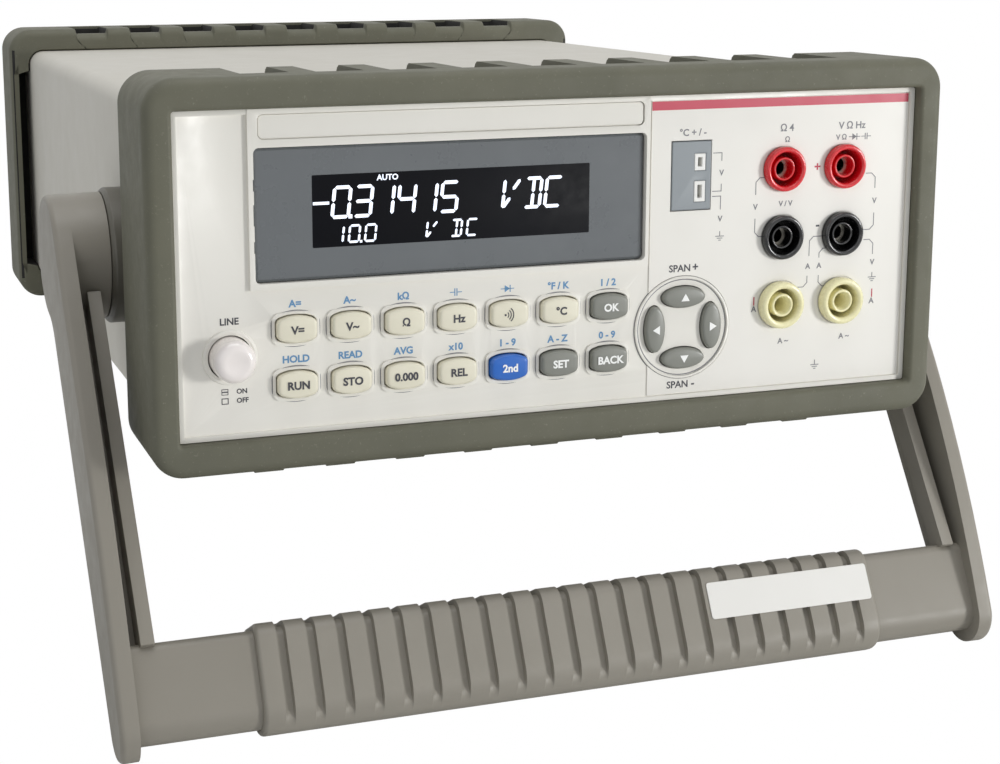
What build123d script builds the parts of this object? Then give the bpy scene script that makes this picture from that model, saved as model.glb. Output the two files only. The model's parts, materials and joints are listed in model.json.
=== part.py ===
from build123d import *
import os
from math import asin, atan2, cos, degrees, hypot, radians, sin, tan

# A bench multimeter: a light-gauge case in two rubber bumpers, with a carrying handle that swings
# round two side pivots and props the front up.
#
# The instrument is drawn level, in millimetres: X to the right, Y to the rear, Z up, with the origin
# at the middle of the front panel's face. Its stance on the bench, front raised on the handle, is
# worked out at the end and given to every piece alike.

# ------------------------------------------------------------------------------- driving dimensions

# Clearances
seat_gap = 0.2          # between pieces that are pushed together and stay
key_gap = 0.3           # round keys, caps and other pieces that travel
running_gap = 0.05      # shaft in its bore

# Case, panels and what stands in front of and behind them
case_width = 215.0
case_height = 87.0
case_corner = 5.0
case_wall = 2.0
case_length = 278.0
panel_thickness = 3.0
panel_skirt = 8.0
panel_skirt_wall = 2.0
rear_panel_thickness = 2.0
rear_recess = 12.8

# Bumpers
front_bumper_width = 226.5
front_bumper_height = 101.2
front_bumper_depth = 37.0
front_lip = 4.0
rear_bumper_width = 230.0
rear_bumper_height = 103.4
rear_bumper_depth = 30.0
bumper_corner = 8.5
bumper_edge_round = 3.0
lip_opening_width = 212.0
lip_opening_height = 84.4
lip_opening_rise = 0.3  # the opening's middle above the panel's middle
lip_opening_corner = 0.8
lip_edge_round = 1.2
rear_opening_width = 206.0
rear_opening_height = 80.0
rear_opening_corner = 3.0
side_pocket_width = 5.7
side_pocket_top = 39.6
side_pocket_bottom = -43.0
side_pocket_depth = 16.0
foot_count = 9
foot_pitch = 19.8
foot_width = 12.5
foot_length = 18.0
foot_height = 4.8
foot_draft = 26.0
front_foot_start = 11.0
rear_foot_setback = 4.0
notch_count = 9
notch_width = 11.9
front_notch_pitch = 19.9
front_notch_depth = 5.0
front_notch_start = 8.5
rear_notch_pitch = 20.9
rear_sill_drop = 1.9
rear_sill_length = 4.5
rear_pocket_depth = 6.0
rear_pocket_length = 18.5

# Handle
pivot_y = 62.3
pivot_z = -2.7
stand_angle = 34.9      # arms, forward of straight down
bar_angle = 28.0        # grip's flat sides, forward of straight down
hub_radius = 17.6
hub_face = 129.2        # outer face of the hub, from the middle
arm_splay = 1.1         # degrees by which the arms draw in towards the grip
arm_length = 131.5      # pivot to the centre of the arm's round end
arm_straight = 50.0     # length of the arm's front edge that stays level with the hub
arm_end_radius = 8.6
arm_plate = 5.0
arm_edge_round = 1.6
hub_step_round = 12.0
rail_front = 10.0
rail_rear = 4.2
rail_root_rear = -3.0
rail_lip = 3.6
rail_groove = 3.0
rail_groove_floor = 1.8
rail_sink = 2.0         # how far the rail runs into the hub and into the grip's bar
bar_reach = 124.0
bar_height = 24.8
bar_thickness = 14.0
bar_top_corner = 2.5
bar_bottom_corner = 6.0
bar_sink = 1.0          # how far the bar runs into the arm's plate
sleeve_length = 179.5
sleeve_skin = 1.7
rib_count = 23
rib_slot = 2.3
rib_slot_end = 12.0     # below the bar's middle
grip_label_length = 50.5
grip_label_height = 10.1
grip_label_thickness = 0.3
grip_label_inset = 1.3  # from the sleeve's right end
grip_label_drop = 4.7   # from the sleeve's top
boss_radius = 19.0
boss_height = 6.4
boss_chamfer = 1.0
pivot_pin_radius = 6.0
pivot_pin_grip = 7.5    # length of the pin inside the hub
pivot_head_radius = 9.5
pivot_head_thickness = 3.0

# Front panel: places are X to the right and Z up from the panel's middle
bezel_block_left = -86.6
bezel_block_right = 24.0
bezel_block_bottom = -3.6
bezel_block_rise = 1.0
window_left = -85.2
window_right = 23.0
window_bottom = -2.0
window_top = 32.6
window_corner = 1.5
nameplate_left = -84.0
nameplate_right = 22.2
nameplate_bottom = 34.6
nameplate_top = 41.0
nameplate_thickness = 0.6
nameplate_recess = 1.0
lens_sink = 1.4
lens_flange = 1.2
lens_margin = 1.4
clip_slots = ((23.2, 3.0), (15.6, 5.4), (7.4, 3.0))
clip_slot_depth = 1.6
overlay_left = 24.6
overlay_right = 104.2
overlay_bottom = -40.2
overlay_top = 40.8
overlay_thickness = 0.3
frame_width = 1.3       # raised frame just inside the bumper's opening
frame_rise = 0.8
module_left = -76.0
module_right = 13.0
module_bottom = 1.0
module_top = 30.0
module_thickness = 3.0

# Keys
key_columns = 7
key_pitch = 14.55
key_first_x = -74.8
key_row_z = (-14.1, -28.6)
key_width = 10.5
key_height = 7.1
key_arch = 0.7
key_corner = 1.6
key_proud = 2.6
key_edge_round = 0.7
key_flange_border = 0.9
key_flange_thickness = 1.0
key_travel = 0.8
key_rim_width = 0.7
key_rim_rise = 0.5
arrow_pad_x = 35.0
arrow_pad_z = -21.6
arrow_spread = 8.55
arrow_length = 12.8
arrow_width = 5.8
arrow_proud = 2.0
pad_ring_radius = 14.0
pad_ring_width = 0.6
pad_ring_rise = 0.4
mat_gap = 0.95          # key flange to membrane, at rest
mat_thickness = 2.0
mat_margin = 2.7
board_thickness = 1.6
board_margin = 1.5
board_socket_gap = 2.0

# Power switch
power_x = -92.1
power_z = -20.4
power_cap_radius = 5.5
power_cap_proud = 8.0
power_cap_round = 2.5
power_collar_radius = 7.0
power_stem_radius = 2.0
power_stem_length = 20.0
power_switch_width = 14.0
power_switch_length = 26.0
power_press = 1.0
power_release = 3.0

# Input sockets
jack_x = 65.05
jack_z = 20.97
jack_pitch = 19.05
jack_flange_radius = 6.2
jack_flange_proud = 2.4
jack_edge_round = 0.6
jack_body_radius = 5.3
jack_length = 24.0
jack_well_radius = 4.7
jack_well_depth = 9.0
jack_tube_radius = 3.3
jack_tube_setback = 1.4
plug_radius = 2.0
contact_wall = 0.5
contact_length = 18.0
contact_setback = 3.0
holder_flange_radius = 6.6
holder_flange_proud = 3.2
holder_edge_round = 0.9
holder_body_radius = 5.6
holder_length = 34.0
holder_web = 1.0        # between the plug's bore and the fuse
shell_wall = 2.0
shell_end = 1.5
holder_tube_setback = 0.9
holder_turn = 45.0
fuse_radius = 3.1
thermo_left = 30.8
thermo_right = 42.6
thermo_bottom = 10.9
thermo_top = 29.7
thermo_proud = 0.6
thermo_depth = 16.0
thermo_frame_width = 3.3
thermo_frame_x = 39.2
thermo_frames = ((24.0, 4.6, 2.5), (15.95, 5.7, 3.5))   # middle, height, slot height
thermo_slot_width = 1.2
thermo_slot_depth = 10.0

# Inside
tray_thickness = 1.2
tray_margin = 1.5
tray_wall = 14.0
tray_front = 16.0
tray_rear_gap = 3.0
main_board_left = -98.0
main_board_right = 44.0
main_board_front = 40.0
main_board_rear = 258.0
standoff_height = 7.0
standoff_radius = 3.0
standoff_inset = 6.0
transformer_x = 74.0
transformer_y = 222.0
transformer_width = 50.0
transformer_depth = 44.0
transformer_height = 46.0
transformer_stack = 22.0
winding_width = 30.0
winding_rise = 7.4
winding_height = 31.2
winding_corner = 3.0
shield_x = -30.0
shield_y = 130.0
shield_width = 90.0
shield_depth = 110.0
shield_height = 22.0
shield_wall = 0.8

# Rear panel
inlet_x = -72.0
inlet_z = -14.0
inlet_cavity_width = 24.0
inlet_cavity_height = 16.4
inlet_cavity_depth = 17.0
inlet_flange_width = 31.0
inlet_flange_height = 50.0
inlet_flange_proud = 2.5
inlet_flange_corner = 2.0
inlet_cavity_chamfer = 3.5
inlet_body_wall = 1.5
inlet_body_length = 24.0
inlet_pin_spread = 7.0
inlet_pin_drop = 1.0
inlet_earth_rise = 3.5
inlet_pin_width = 2.0
inlet_pin_height = 4.0
inlet_pin_setback = 2.0
inlet_pin_tail = 4.0
drawer_rise = 22.5      # drawer's middle above the inlet cavity's middle
drawer_width = 20.0
drawer_height = 11.0
drawer_length = 20.0
drawer_lip = 1.2
drawer_lip_inset = 0.5
drawer_lip_corner = 1.0
drawer_end_wall = 2.0
drawer_travel = 16.0
line_fuse_radius = 2.6
line_fuse_length = 14.0
usb_x = 2.0
usb_z = -24.0
usb_width = 12.0
usb_height = 11.0
usb_wall = 1.4
usb_depth = 14.0
usb_proud = 1.0
usb_back = 2.0
usb_collar_border = 1.5
usb_collar_thickness = 1.0
usb_tongue_width = 5.6
usb_tongue_height = 3.2
bnc_positions = ((38.0, -24.0), (64.0, -24.0))
bnc_radius = 4.8
bnc_bore = 4.05
bnc_bore_depth = 8.0
bnc_length = 11.5
bnc_nut_radius = 7.2
bnc_nut_thickness = 1.8
bnc_tail_radius = 4.6
bnc_tail_length = 10.0
bnc_pin_radius = 0.7
bnc_pin_setback = 1.0
bnc_lug_radius = 1.0
bnc_lug_reach = 0.8
bnc_lug_root = 0.4
bnc_lug_setback = 3.0
option_x = 40.0
option_z = 16.0
option_opening_width = 62.0
option_opening_height = 20.0
option_margin = 6.0
option_thickness = 1.2
option_corner = 1.5
ground_x = -34.0
ground_z = -24.0
ground_radius = 2.5
ground_washer_radius = 5.0
ground_washer_thickness = 1.0
ground_nut_radius = 4.6
ground_nut_height = 3.2
ground_stud_length = 9.0
ground_backing = 2.0
screw_radius = 1.5
screw_head_radius = 3.0
screw_head_height = 2.0
screw_length = 6.0
corner_screw_inset_x = 8.2   # from the rear opening's edges
corner_screw_inset_z = 5.7
vent_count = 9
vent_pitch = 8.0
vent_width = 3.0
vent_length = 60.0
vent_y = 190.0

# ------------------------------------------------------------------------------ derived dimensions
sleeve_front = panel_thickness + seat_gap
sleeve_rear = sleeve_front + case_length
rear_panel_back = sleeve_rear + rear_panel_thickness
front_bumper_rear = front_bumper_depth - front_lip
rear_bumper_rear = rear_panel_back + rear_recess
rear_bumper_front = rear_bumper_rear - rear_bumper_depth
inside_width = case_width - 2 * case_wall
inside_height = case_height - 2 * case_wall
inside_corner = case_corner - case_wall
tray_floor = -inside_height / 2
case_side = case_width / 2
boss_face = case_side + boss_height
hub_inner = boss_face + seat_gap
block_top = lip_opening_rise + lip_opening_height / 2 - seat_gap
frame_outer_width = lip_opening_width - 2 * seat_gap
frame_outer_height = lip_opening_height - 2 * seat_gap
flange_front = panel_thickness + key_gap
mat_front = flange_front + key_flange_thickness + mat_gap
board_front = mat_front + mat_thickness
window_width = window_right - window_left
window_height = window_top - window_bottom
window_middle = ((window_left + window_right) / 2, (window_bottom + window_top) / 2)
jack_columns = (jack_x, jack_x + jack_pitch)
jack_rows = (jack_z, jack_z - jack_pitch, jack_z - 2 * jack_pitch)

key_names = (
    (
        "key_volts_dc",
        "key_volts_ac",
        "key_ohms",
        "key_frequency",
        "key_continuity",
        "key_temperature",
        "key_enter",
    ),
    (
        "key_trigger",
        "key_store",
        "key_digits",
        "key_null",
        "key_shift",
        "key_setup",
        "key_escape",
    ),
)
key_places = {
    name: (key_first_x + column * key_pitch, key_row_z[row])
    for row, names in enumerate(key_names)
    for column, name in enumerate(names)
}
arrow_places = {
    "arrow_up": (arrow_pad_x, arrow_pad_z + arrow_spread, 0),
    "arrow_down": (arrow_pad_x, arrow_pad_z - arrow_spread, 0),
    "arrow_left": (arrow_pad_x - arrow_spread, arrow_pad_z, 90),
    "arrow_right": (arrow_pad_x + arrow_spread, arrow_pad_z, 90),
}
holder_places = {
    "fuse_holder_left": (jack_columns[0], jack_rows[2]),
    "fuse_holder_right": (jack_columns[1], jack_rows[2]),
}
pieces = []


def facing(depth):
    """The upright plane that looks at the user, depth behind the panel's face."""
    return Plane.XZ.offset(-depth)


def finish(builder, name):
    """Name a finished sub-part and put it with the others."""
    builder.part.label = name
    pieces.append(builder.part)


def rounded(width, height, radius):
    """A rectangle with round corners, drawn about its middle."""
    with BuildSketch() as outline:
        RectangleRounded(width, height, radius)
    return outline.sketch


def key_outline(margin=0.0):
    """A key's outline: straight sides, and a top and bottom that arch outwards."""
    half_width = key_width / 2 + margin
    half_height = key_height / 2 + margin
    shoulder = half_height - key_arch
    with BuildSketch() as outline:
        with BuildLine():
            ThreePointArc((-half_width, shoulder), (0, half_height), (half_width, shoulder))
            Line((half_width, shoulder), (half_width, -shoulder))
            ThreePointArc((half_width, -shoulder), (0, -half_height), (-half_width, -shoulder))
            Line((-half_width, -shoulder), (-half_width, shoulder))
        make_face()
        fillet(outline.vertices(), key_corner + margin / 2)
    return outline.sketch


# ---------------------------------------------------------------------------------------- the case
with BuildPart() as case_sleeve:
    with BuildSketch(facing(sleeve_rear)):
        RectangleRounded(case_width, case_height, case_corner)
        RectangleRounded(inside_width, inside_height, inside_corner, mode=Mode.SUBTRACT)
    extrude(amount=case_length)
    # holes for the handle's pivot pins
    with Locations(Plane.YZ):
        with Locations((pivot_y, pivot_z, 0)):
            Cylinder(
                pivot_pin_radius + seat_gap, 2 * case_width, mode=Mode.SUBTRACT
            )
    # cooling slots in the underside
    with BuildSketch(Plane.XY.offset(-case_height)):
        with Locations((0, vent_y)):
            with GridLocations(vent_pitch, 1, vent_count, 1):
                SlotOverall(vent_length, vent_width, rotation=90)
    extrude(amount=case_height, mode=Mode.SUBTRACT)
finish(case_sleeve, "case_sleeve")

with BuildPart() as chassis_tray:
    tray_width = inside_width - 2 * tray_margin
    tray_length = sleeve_rear - tray_rear_gap - tray_front
    with BuildSketch(facing(tray_front + tray_length)):
        RectangleRounded(tray_width, inside_height, inside_corner)
        RectangleRounded(
            tray_width - 2 * tray_thickness,
            inside_height - 2 * tray_thickness,
            inside_corner - tray_thickness,
            mode=Mode.SUBTRACT,
        )
        with Locations((0, tray_wall)):
            Rectangle(inside_width, inside_height, mode=Mode.SUBTRACT)
    extrude(amount=tray_length)
    with BuildSketch(Plane.XY.offset(tray_floor + tray_thickness)):
        with Locations((0, vent_y)):
            with GridLocations(vent_pitch, 1, vent_count, 1):
                SlotOverall(vent_length, vent_width, rotation=90)
    extrude(amount=-tray_thickness, mode=Mode.SUBTRACT)
finish(chassis_tray, "chassis_tray")

# ------------------------------------------------------------------------------------- the bumpers
front_foot_middle = front_foot_start + foot_length / 2
rear_foot_middle = rear_bumper_rear - rear_foot_setback - foot_length / 2
with BuildPart() as front_bumper:
    with BuildSketch(facing(front_bumper_rear)):
        RectangleRounded(front_bumper_width, front_bumper_height, bumper_corner)
    extrude(amount=front_bumper_depth)
    fillet(front_bumper.faces().sort_by(Axis.Y)[0].edges(), bumper_edge_round)
    with BuildSketch(Plane.XY.offset(-front_bumper_height / 2)):
        with Locations((0, front_foot_middle)):
            with GridLocations(foot_pitch, 1, foot_count, 1):
                Rectangle(foot_width, foot_length)
    extrude(amount=-foot_height, taper=foot_draft)
    # notches across the top, open to the rear
    with BuildSketch(Plane.XY.offset(front_bumper_height)):
        with Locations((0, front_notch_start + front_bumper_depth / 2)):
            with GridLocations(front_notch_pitch, 1, notch_count, 1):
                Rectangle(notch_width, front_bumper_depth)
    extrude(amount=-front_bumper_height / 2 - front_notch_depth, mode=Mode.SUBTRACT)
    # pocket for the front panel and the case, and the opening in front of the panel
    with BuildSketch(facing(front_bumper_rear)):
        RectangleRounded(
            case_width + 2 * seat_gap, case_height + 2 * seat_gap, case_corner + seat_gap
        )
    extrude(amount=front_bumper_rear, mode=Mode.SUBTRACT)
    with BuildSketch(facing(0)):
        with Locations((0, lip_opening_rise)):
            RectangleRounded(lip_opening_width, lip_opening_height, lip_opening_corner)
    extrude(amount=2 * front_lip, mode=Mode.SUBTRACT)
    lip_edges = [
        edge
        for edge in front_bumper.edges().group_by(Axis.Y)[0]
        if abs(edge.center().X) < case_side and abs(edge.center().Z) < case_height / 2
    ]
    fillet(lip_edges, lip_edge_round)
finish(front_bumper, "front_bumper")

with BuildPart() as rear_bumper:
    with BuildSketch(facing(rear_bumper_rear)):
        RectangleRounded(rear_bumper_width, rear_bumper_height, bumper_corner)
    extrude(amount=rear_bumper_depth)
    fillet(rear_bumper.faces().sort_by(Axis.Y)[0].edges(), bumper_edge_round)
    fillet(rear_bumper.faces().sort_by(Axis.Y)[-1].edges(), bumper_edge_round)
    with BuildSketch(Plane.XY.offset(-rear_bumper_height / 2)):
        with Locations((0, rear_foot_middle)):
            with GridLocations(foot_pitch, 1, foot_count, 1):
                Rectangle(foot_width, foot_length)
    extrude(amount=-foot_height, taper=foot_draft)
    # pockets in the top, each behind a low sill, with the rear edge left whole
    with BuildSketch(Plane.XY.offset(rear_bumper_height)):
        with Locations((0, rear_bumper_front + rear_sill_length / 2)):
            with GridLocations(rear_notch_pitch, 1, notch_count, 1):
                Rectangle(notch_width, rear_sill_length)
    extrude(amount=-rear_bumper_height / 2 - rear_sill_drop, mode=Mode.SUBTRACT)
    with BuildSketch(Plane.XY.offset(rear_bumper_height)):
        with Locations((0, rear_bumper_front + rear_sill_length + rear_pocket_length / 2)):
            with GridLocations(rear_notch_pitch, 1, notch_count, 1):
                Rectangle(notch_width, rear_pocket_length)
    extrude(amount=-rear_bumper_height / 2 - rear_pocket_depth, mode=Mode.SUBTRACT)
    # pocket for the case and the rear panel, hollows beside the case, opening behind the panel
    with BuildSketch(facing(rear_panel_back + seat_gap)):
        RectangleRounded(
            case_width + 2 * seat_gap, case_height + 2 * seat_gap, case_corner + seat_gap
        )
    extrude(amount=rear_bumper_depth, mode=Mode.SUBTRACT)
    with BuildSketch(facing(rear_bumper_front + side_pocket_depth)):
        with Locations((0, (side_pocket_top + side_pocket_bottom) / 2)):
            RectangleRounded(
                case_width + 2 * side_pocket_width,
                side_pocket_top - side_pocket_bottom,
                case_corner,
            )
    extrude(amount=side_pocket_depth, mode=Mode.SUBTRACT)
    with BuildSketch(facing(rear_bumper_rear)):
        RectangleRounded(rear_opening_width, rear_opening_height, rear_opening_corner)
    extrude(amount=rear_bumper_depth, mode=Mode.SUBTRACT)
finish(rear_bumper, "rear_bumper")

# ------------------------------------------------------------------------------------- front panel
jack_holes = [(x, z) for x in jack_columns for z in jack_rows[:2]]
holder_holes = list(holder_places.values())
with BuildPart() as front_panel:
    with BuildSketch(facing(panel_thickness)):
        RectangleRounded(
            case_width - 2 * seat_gap, case_height - 2 * seat_gap, case_corner - seat_gap
        )
    extrude(amount=panel_thickness)
    # skirt that goes into the sleeve
    with BuildSketch(facing(panel_thickness + panel_skirt)):
        RectangleRounded(
            inside_width - 2 * seat_gap, inside_height - 2 * seat_gap, inside_corner - seat_gap
        )
        RectangleRounded(
            inside_width - 2 * seat_gap - 2 * panel_skirt_wall,
            inside_height - 2 * seat_gap - 2 * panel_skirt_wall,
            inside_corner - seat_gap - panel_skirt_wall / 2,
            mode=Mode.SUBTRACT,
        )
    extrude(amount=panel_skirt)
    # raised block round the display, up to the panel's top edge
    with BuildSketch(facing(0)):
        with Locations(
            (
                (bezel_block_left + bezel_block_right) / 2,
                (bezel_block_bottom + block_top) / 2,
            )
        ):
            Rectangle(bezel_block_right - bezel_block_left, block_top - bezel_block_bottom)
    extrude(amount=bezel_block_rise)
    # thin frame round the edge of the panel
    with BuildSketch(facing(0)):
        with Locations((0, lip_opening_rise)):
            RectangleRounded(
                frame_outer_width, frame_outer_height, lip_opening_corner - seat_gap
            )
            Rectangle(
                frame_outer_width - 2 * frame_width,
                frame_outer_height - 2 * frame_width,
                mode=Mode.SUBTRACT,
            )
    extrude(amount=frame_rise)
    # rims round the keys, the arrow pad and the power button
    with BuildSketch(facing(0)):
        for place in key_places.values():
            with Locations(place):
                add(key_outline(key_gap + key_rim_width))
        with Locations((power_x, power_z)):
            Circle(power_collar_radius)
        with Locations((arrow_pad_x, arrow_pad_z)):
            Circle(pad_ring_radius + pad_ring_width / 2)
            Circle(pad_ring_radius - pad_ring_width / 2, mode=Mode.SUBTRACT)
    extrude(amount=key_rim_rise)
    # window, recess for the nameplate, recess for the overlay
    with BuildSketch(facing(panel_thickness)):
        with Locations(window_middle):
            RectangleRounded(window_width, window_height, window_corner)
    extrude(amount=2 * panel_thickness, mode=Mode.SUBTRACT)
    with BuildSketch(facing(nameplate_recess - bezel_block_rise)):
        with Locations(
            (
                (nameplate_left + nameplate_right) / 2,
                (nameplate_bottom + nameplate_top) / 2,
            )
        ):
            RectangleRounded(
                nameplate_right - nameplate_left, nameplate_top - nameplate_bottom, window_corner
            )
    extrude(amount=panel_thickness, mode=Mode.SUBTRACT)
    # slots beside the window for the lens's clips
    with BuildSketch(facing(clip_slot_depth - bezel_block_rise)):
        for slot_z, slot_height in clip_slots:
            with Locations((window_left + clip_slot_depth / 2 - seat_gap, slot_z)):
                Rectangle(clip_slot_depth, slot_height)
    extrude(amount=panel_thickness, mode=Mode.SUBTRACT)
    # holes for all that comes through
    with BuildSketch(facing(panel_thickness)):
        for place in key_places.values():
            with Locations(place):
                add(key_outline(key_gap))
        for arrow_x, arrow_z, turn in arrow_places.values():
            with Locations((arrow_x, arrow_z)):
                Ellipse(
                    arrow_length / 2 + key_gap, arrow_width / 2 + key_gap, rotation=turn
                )
        with Locations((power_x, power_z)):
            Circle(power_cap_radius + key_gap)
        with Locations(*jack_holes):
            Circle(jack_body_radius + seat_gap)
        with Locations(*holder_holes):
            Circle(holder_body_radius + key_gap)
        with Locations(
            ((thermo_left + thermo_right) / 2, (thermo_bottom + thermo_top) / 2)
        ):
            Rectangle(
                thermo_right - thermo_left + 2 * seat_gap,
                thermo_top - thermo_bottom + 2 * seat_gap,
            )
    extrude(amount=2 * panel_thickness, mode=Mode.SUBTRACT)
finish(front_panel, "front_panel")

with BuildPart() as terminal_overlay:
    with BuildSketch(facing(0)):
        with Locations(
            ((overlay_left + overlay_right) / 2, (overlay_bottom + overlay_top) / 2)
        ):
            Rectangle(overlay_right - overlay_left, overlay_top - overlay_bottom)
        with Locations((arrow_pad_x, arrow_pad_z)):
            Circle(pad_ring_radius + pad_ring_width / 2 + seat_gap, mode=Mode.SUBTRACT)
        with Locations(*jack_holes):
            Circle(jack_flange_radius + seat_gap, mode=Mode.SUBTRACT)
        with Locations(*holder_holes):
            Circle(holder_flange_radius + key_gap, mode=Mode.SUBTRACT)
        with Locations(
            ((thermo_left + thermo_right) / 2, (thermo_bottom + thermo_top) / 2)
        ):
            Rectangle(
                thermo_right - thermo_left + 2 * seat_gap,
                thermo_top - thermo_bottom + 2 * seat_gap,
                mode=Mode.SUBTRACT,
            )
    extrude(amount=overlay_thickness)
finish(terminal_overlay, "terminal_overlay")

with BuildPart() as nameplate:
    with BuildSketch(facing(nameplate_recess - bezel_block_rise)):
        with Locations(
            (
                (nameplate_left + nameplate_right) / 2,
                (nameplate_bottom + nameplate_top) / 2,
            )
        ):
            RectangleRounded(
                nameplate_right - nameplate_left - 2 * seat_gap,
                nameplate_top - nameplate_bottom - 2 * seat_gap,
                window_corner - seat_gap,
            )
    extrude(amount=nameplate_thickness)
finish(nameplate, "nameplate")

with BuildPart() as display_lens:
    with BuildSketch(facing(panel_thickness)):
        with Locations(window_middle):
            RectangleRounded(
                window_width - 2 * seat_gap, window_height - 2 * seat_gap, window_corner - seat_gap
            )
    extrude(amount=panel_thickness + bezel_block_rise - lens_sink)
    with BuildSketch(facing(panel_thickness + lens_flange)):
        with Locations(window_middle):
            RectangleRounded(
                window_width + 2 * lens_margin, window_height + 2 * lens_margin, window_corner
            )
    extrude(amount=lens_flange)
finish(display_lens, "display_lens")

with BuildPart() as display_module:
    with BuildSketch(facing(panel_thickness + lens_flange + module_thickness)):
        with Locations(((module_left + module_right) / 2, (module_bottom + module_top) / 2)):
            Rectangle(module_right - module_left, module_top - module_bottom)
    extrude(amount=module_thickness)
finish(display_module, "display_module")

# ------------------------------------------------------------------------------------------- keys
for key_name, key_place in key_places.items():
    with BuildPart() as key:
        with BuildSketch(facing(flange_front)):
            with Locations(key_place):
                add(key_outline())
        extrude(amount=flange_front + key_proud)
        fillet(key.faces().sort_by(Axis.Y)[0].edges(), key_edge_round)
        with BuildSketch(facing(flange_front + key_flange_thickness)):
            with Locations(key_place):
                Rectangle(
                    key_width + 2 * key_flange_border, key_height + 2 * key_flange_border
                )
        extrude(amount=key_flange_thickness)
    finish(key, key_name)

for arrow_name, (arrow_x, arrow_z, turn) in arrow_places.items():
    with BuildPart() as arrow:
        with BuildSketch(facing(flange_front + key_flange_thickness)):
            with Locations((arrow_x, arrow_z)):
                Ellipse(arrow_length / 2, arrow_width / 2, rotation=turn)
        extrude(amount=flange_front + key_flange_thickness + arrow_proud)
        fillet(arrow.faces().sort_by(Axis.Y)[0].edges(), key_edge_round)
        with BuildSketch(facing(flange_front + key_flange_thickness)):
            with Locations((arrow_x, arrow_z)):
                Ellipse(
                    arrow_length / 2 + key_flange_border,
                    arrow_width / 2 + key_flange_border,
                    rotation=turn,
                )
        extrude(amount=key_flange_thickness)
    finish(arrow, arrow_name)

mat_bottom = key_row_z[1] - key_height / 2 - mat_margin
mat_top = key_row_z[0] + key_height / 2 + mat_margin
mat_left = key_first_x - key_width / 2 - mat_margin
mat_right = arrow_pad_x + arrow_spread + arrow_width / 2 + mat_margin
with BuildPart() as keypad_mat:
    with BuildSketch(facing(board_front)):
        with Locations(((mat_left + mat_right) / 2, (mat_bottom + mat_top) / 2)):
            Rectangle(mat_right - mat_left, mat_top - mat_bottom)
        with Locations((arrow_pad_x, arrow_pad_z)):
            Circle(pad_ring_radius)
    extrude(amount=mat_thickness)
finish(keypad_mat, "keypad_mat")

with BuildPart() as front_board:
    board_left = -inside_width / 2 + panel_skirt_wall + board_margin
    board_right = thermo_left - board_socket_gap
    with BuildSketch(facing(board_front + board_thickness)):
        with Locations(((board_left + board_right) / 2, 0)):
            Rectangle(
                board_right - board_left,
                inside_height - 2 * panel_skirt_wall - 2 * board_margin,
            )
        with Locations((arrow_pad_x, arrow_pad_z)):
            Circle(pad_ring_radius + board_margin)
        with Locations((power_x, power_z)):
            Circle(power_stem_radius + key_gap, mode=Mode.SUBTRACT)
    extrude(amount=board_thickness)
finish(front_board, "front_board")

# ----------------------------------------------------------------------------------- power switch
with BuildPart() as power_button:
    with BuildSketch(facing(board_front - power_press - key_gap)):
        with Locations((power_x, power_z)):
            Circle(power_cap_radius)
    extrude(amount=board_front - power_press - key_gap + power_cap_proud)
    fillet(power_button.faces().sort_by(Axis.Y)[0].edges(), power_cap_round)
    with BuildSketch(facing(board_front + power_stem_length)):
        with Locations((power_x, power_z)):
            Circle(power_stem_radius)
    extrude(amount=power_stem_length + power_press + 2 * key_gap)
finish(power_button, "power_button")

with BuildPart() as power_switch:
    switch_front = board_front + board_thickness
    with BuildSketch(facing(switch_front + power_switch_length)):
        with Locations((power_x, power_z)):
            Rectangle(power_switch_width, power_switch_width)
    extrude(amount=power_switch_length)
    with BuildSketch(facing(board_front + power_stem_length + power_press + key_gap)):
        with Locations((power_x, power_z)):
            Circle(power_stem_radius + running_gap)
    extrude(amount=power_stem_length, mode=Mode.SUBTRACT)
finish(power_switch, "power_switch")

# ---------------------------------------------------------------------------------- input sockets
for jack_name, jack_row in (("red_jacks", 0), ("black_jacks", 1)):
    with BuildPart() as jacks:
        with BuildSketch(facing(jack_length)):
            with Locations(*[(x, jack_rows[jack_row]) for x in jack_columns]):
                Circle(jack_body_radius)
        extrude(amount=jack_length)
        with BuildSketch(facing(0)):
            with Locations(*[(x, jack_rows[jack_row]) for x in jack_columns]):
                Circle(jack_flange_radius)
        extrude(amount=jack_flange_proud)
        fillet(jacks.faces().group_by(Axis.Y)[0].edges(), jack_edge_round)
        with BuildSketch(facing(jack_well_depth - jack_flange_proud)):
            with Locations(*[(x, jack_rows[jack_row]) for x in jack_columns]):
                Circle(jack_well_radius)
        extrude(amount=jack_well_depth, mode=Mode.SUBTRACT)
        with BuildSketch(facing(jack_well_depth - jack_flange_proud)):
            with Locations(*[(x, jack_rows[jack_row]) for x in jack_columns]):
                Circle(jack_tube_radius)
        extrude(amount=jack_well_depth - jack_tube_setback)
        with BuildSketch(facing(jack_length)):
            with Locations(*[(x, jack_rows[jack_row]) for x in jack_columns]):
                Circle(plug_radius + contact_wall)
        extrude(amount=2 * jack_length, mode=Mode.SUBTRACT)
    finish(jacks, jack_name)

with BuildPart() as jack_contacts:
    with BuildSketch(facing(contact_setback + contact_length)):
        with Locations(*jack_holes):
            Circle(plug_radius + contact_wall)
            Circle(plug_radius, mode=Mode.SUBTRACT)
    extrude(amount=contact_length)
finish(jack_contacts, "jack_contacts")

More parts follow.
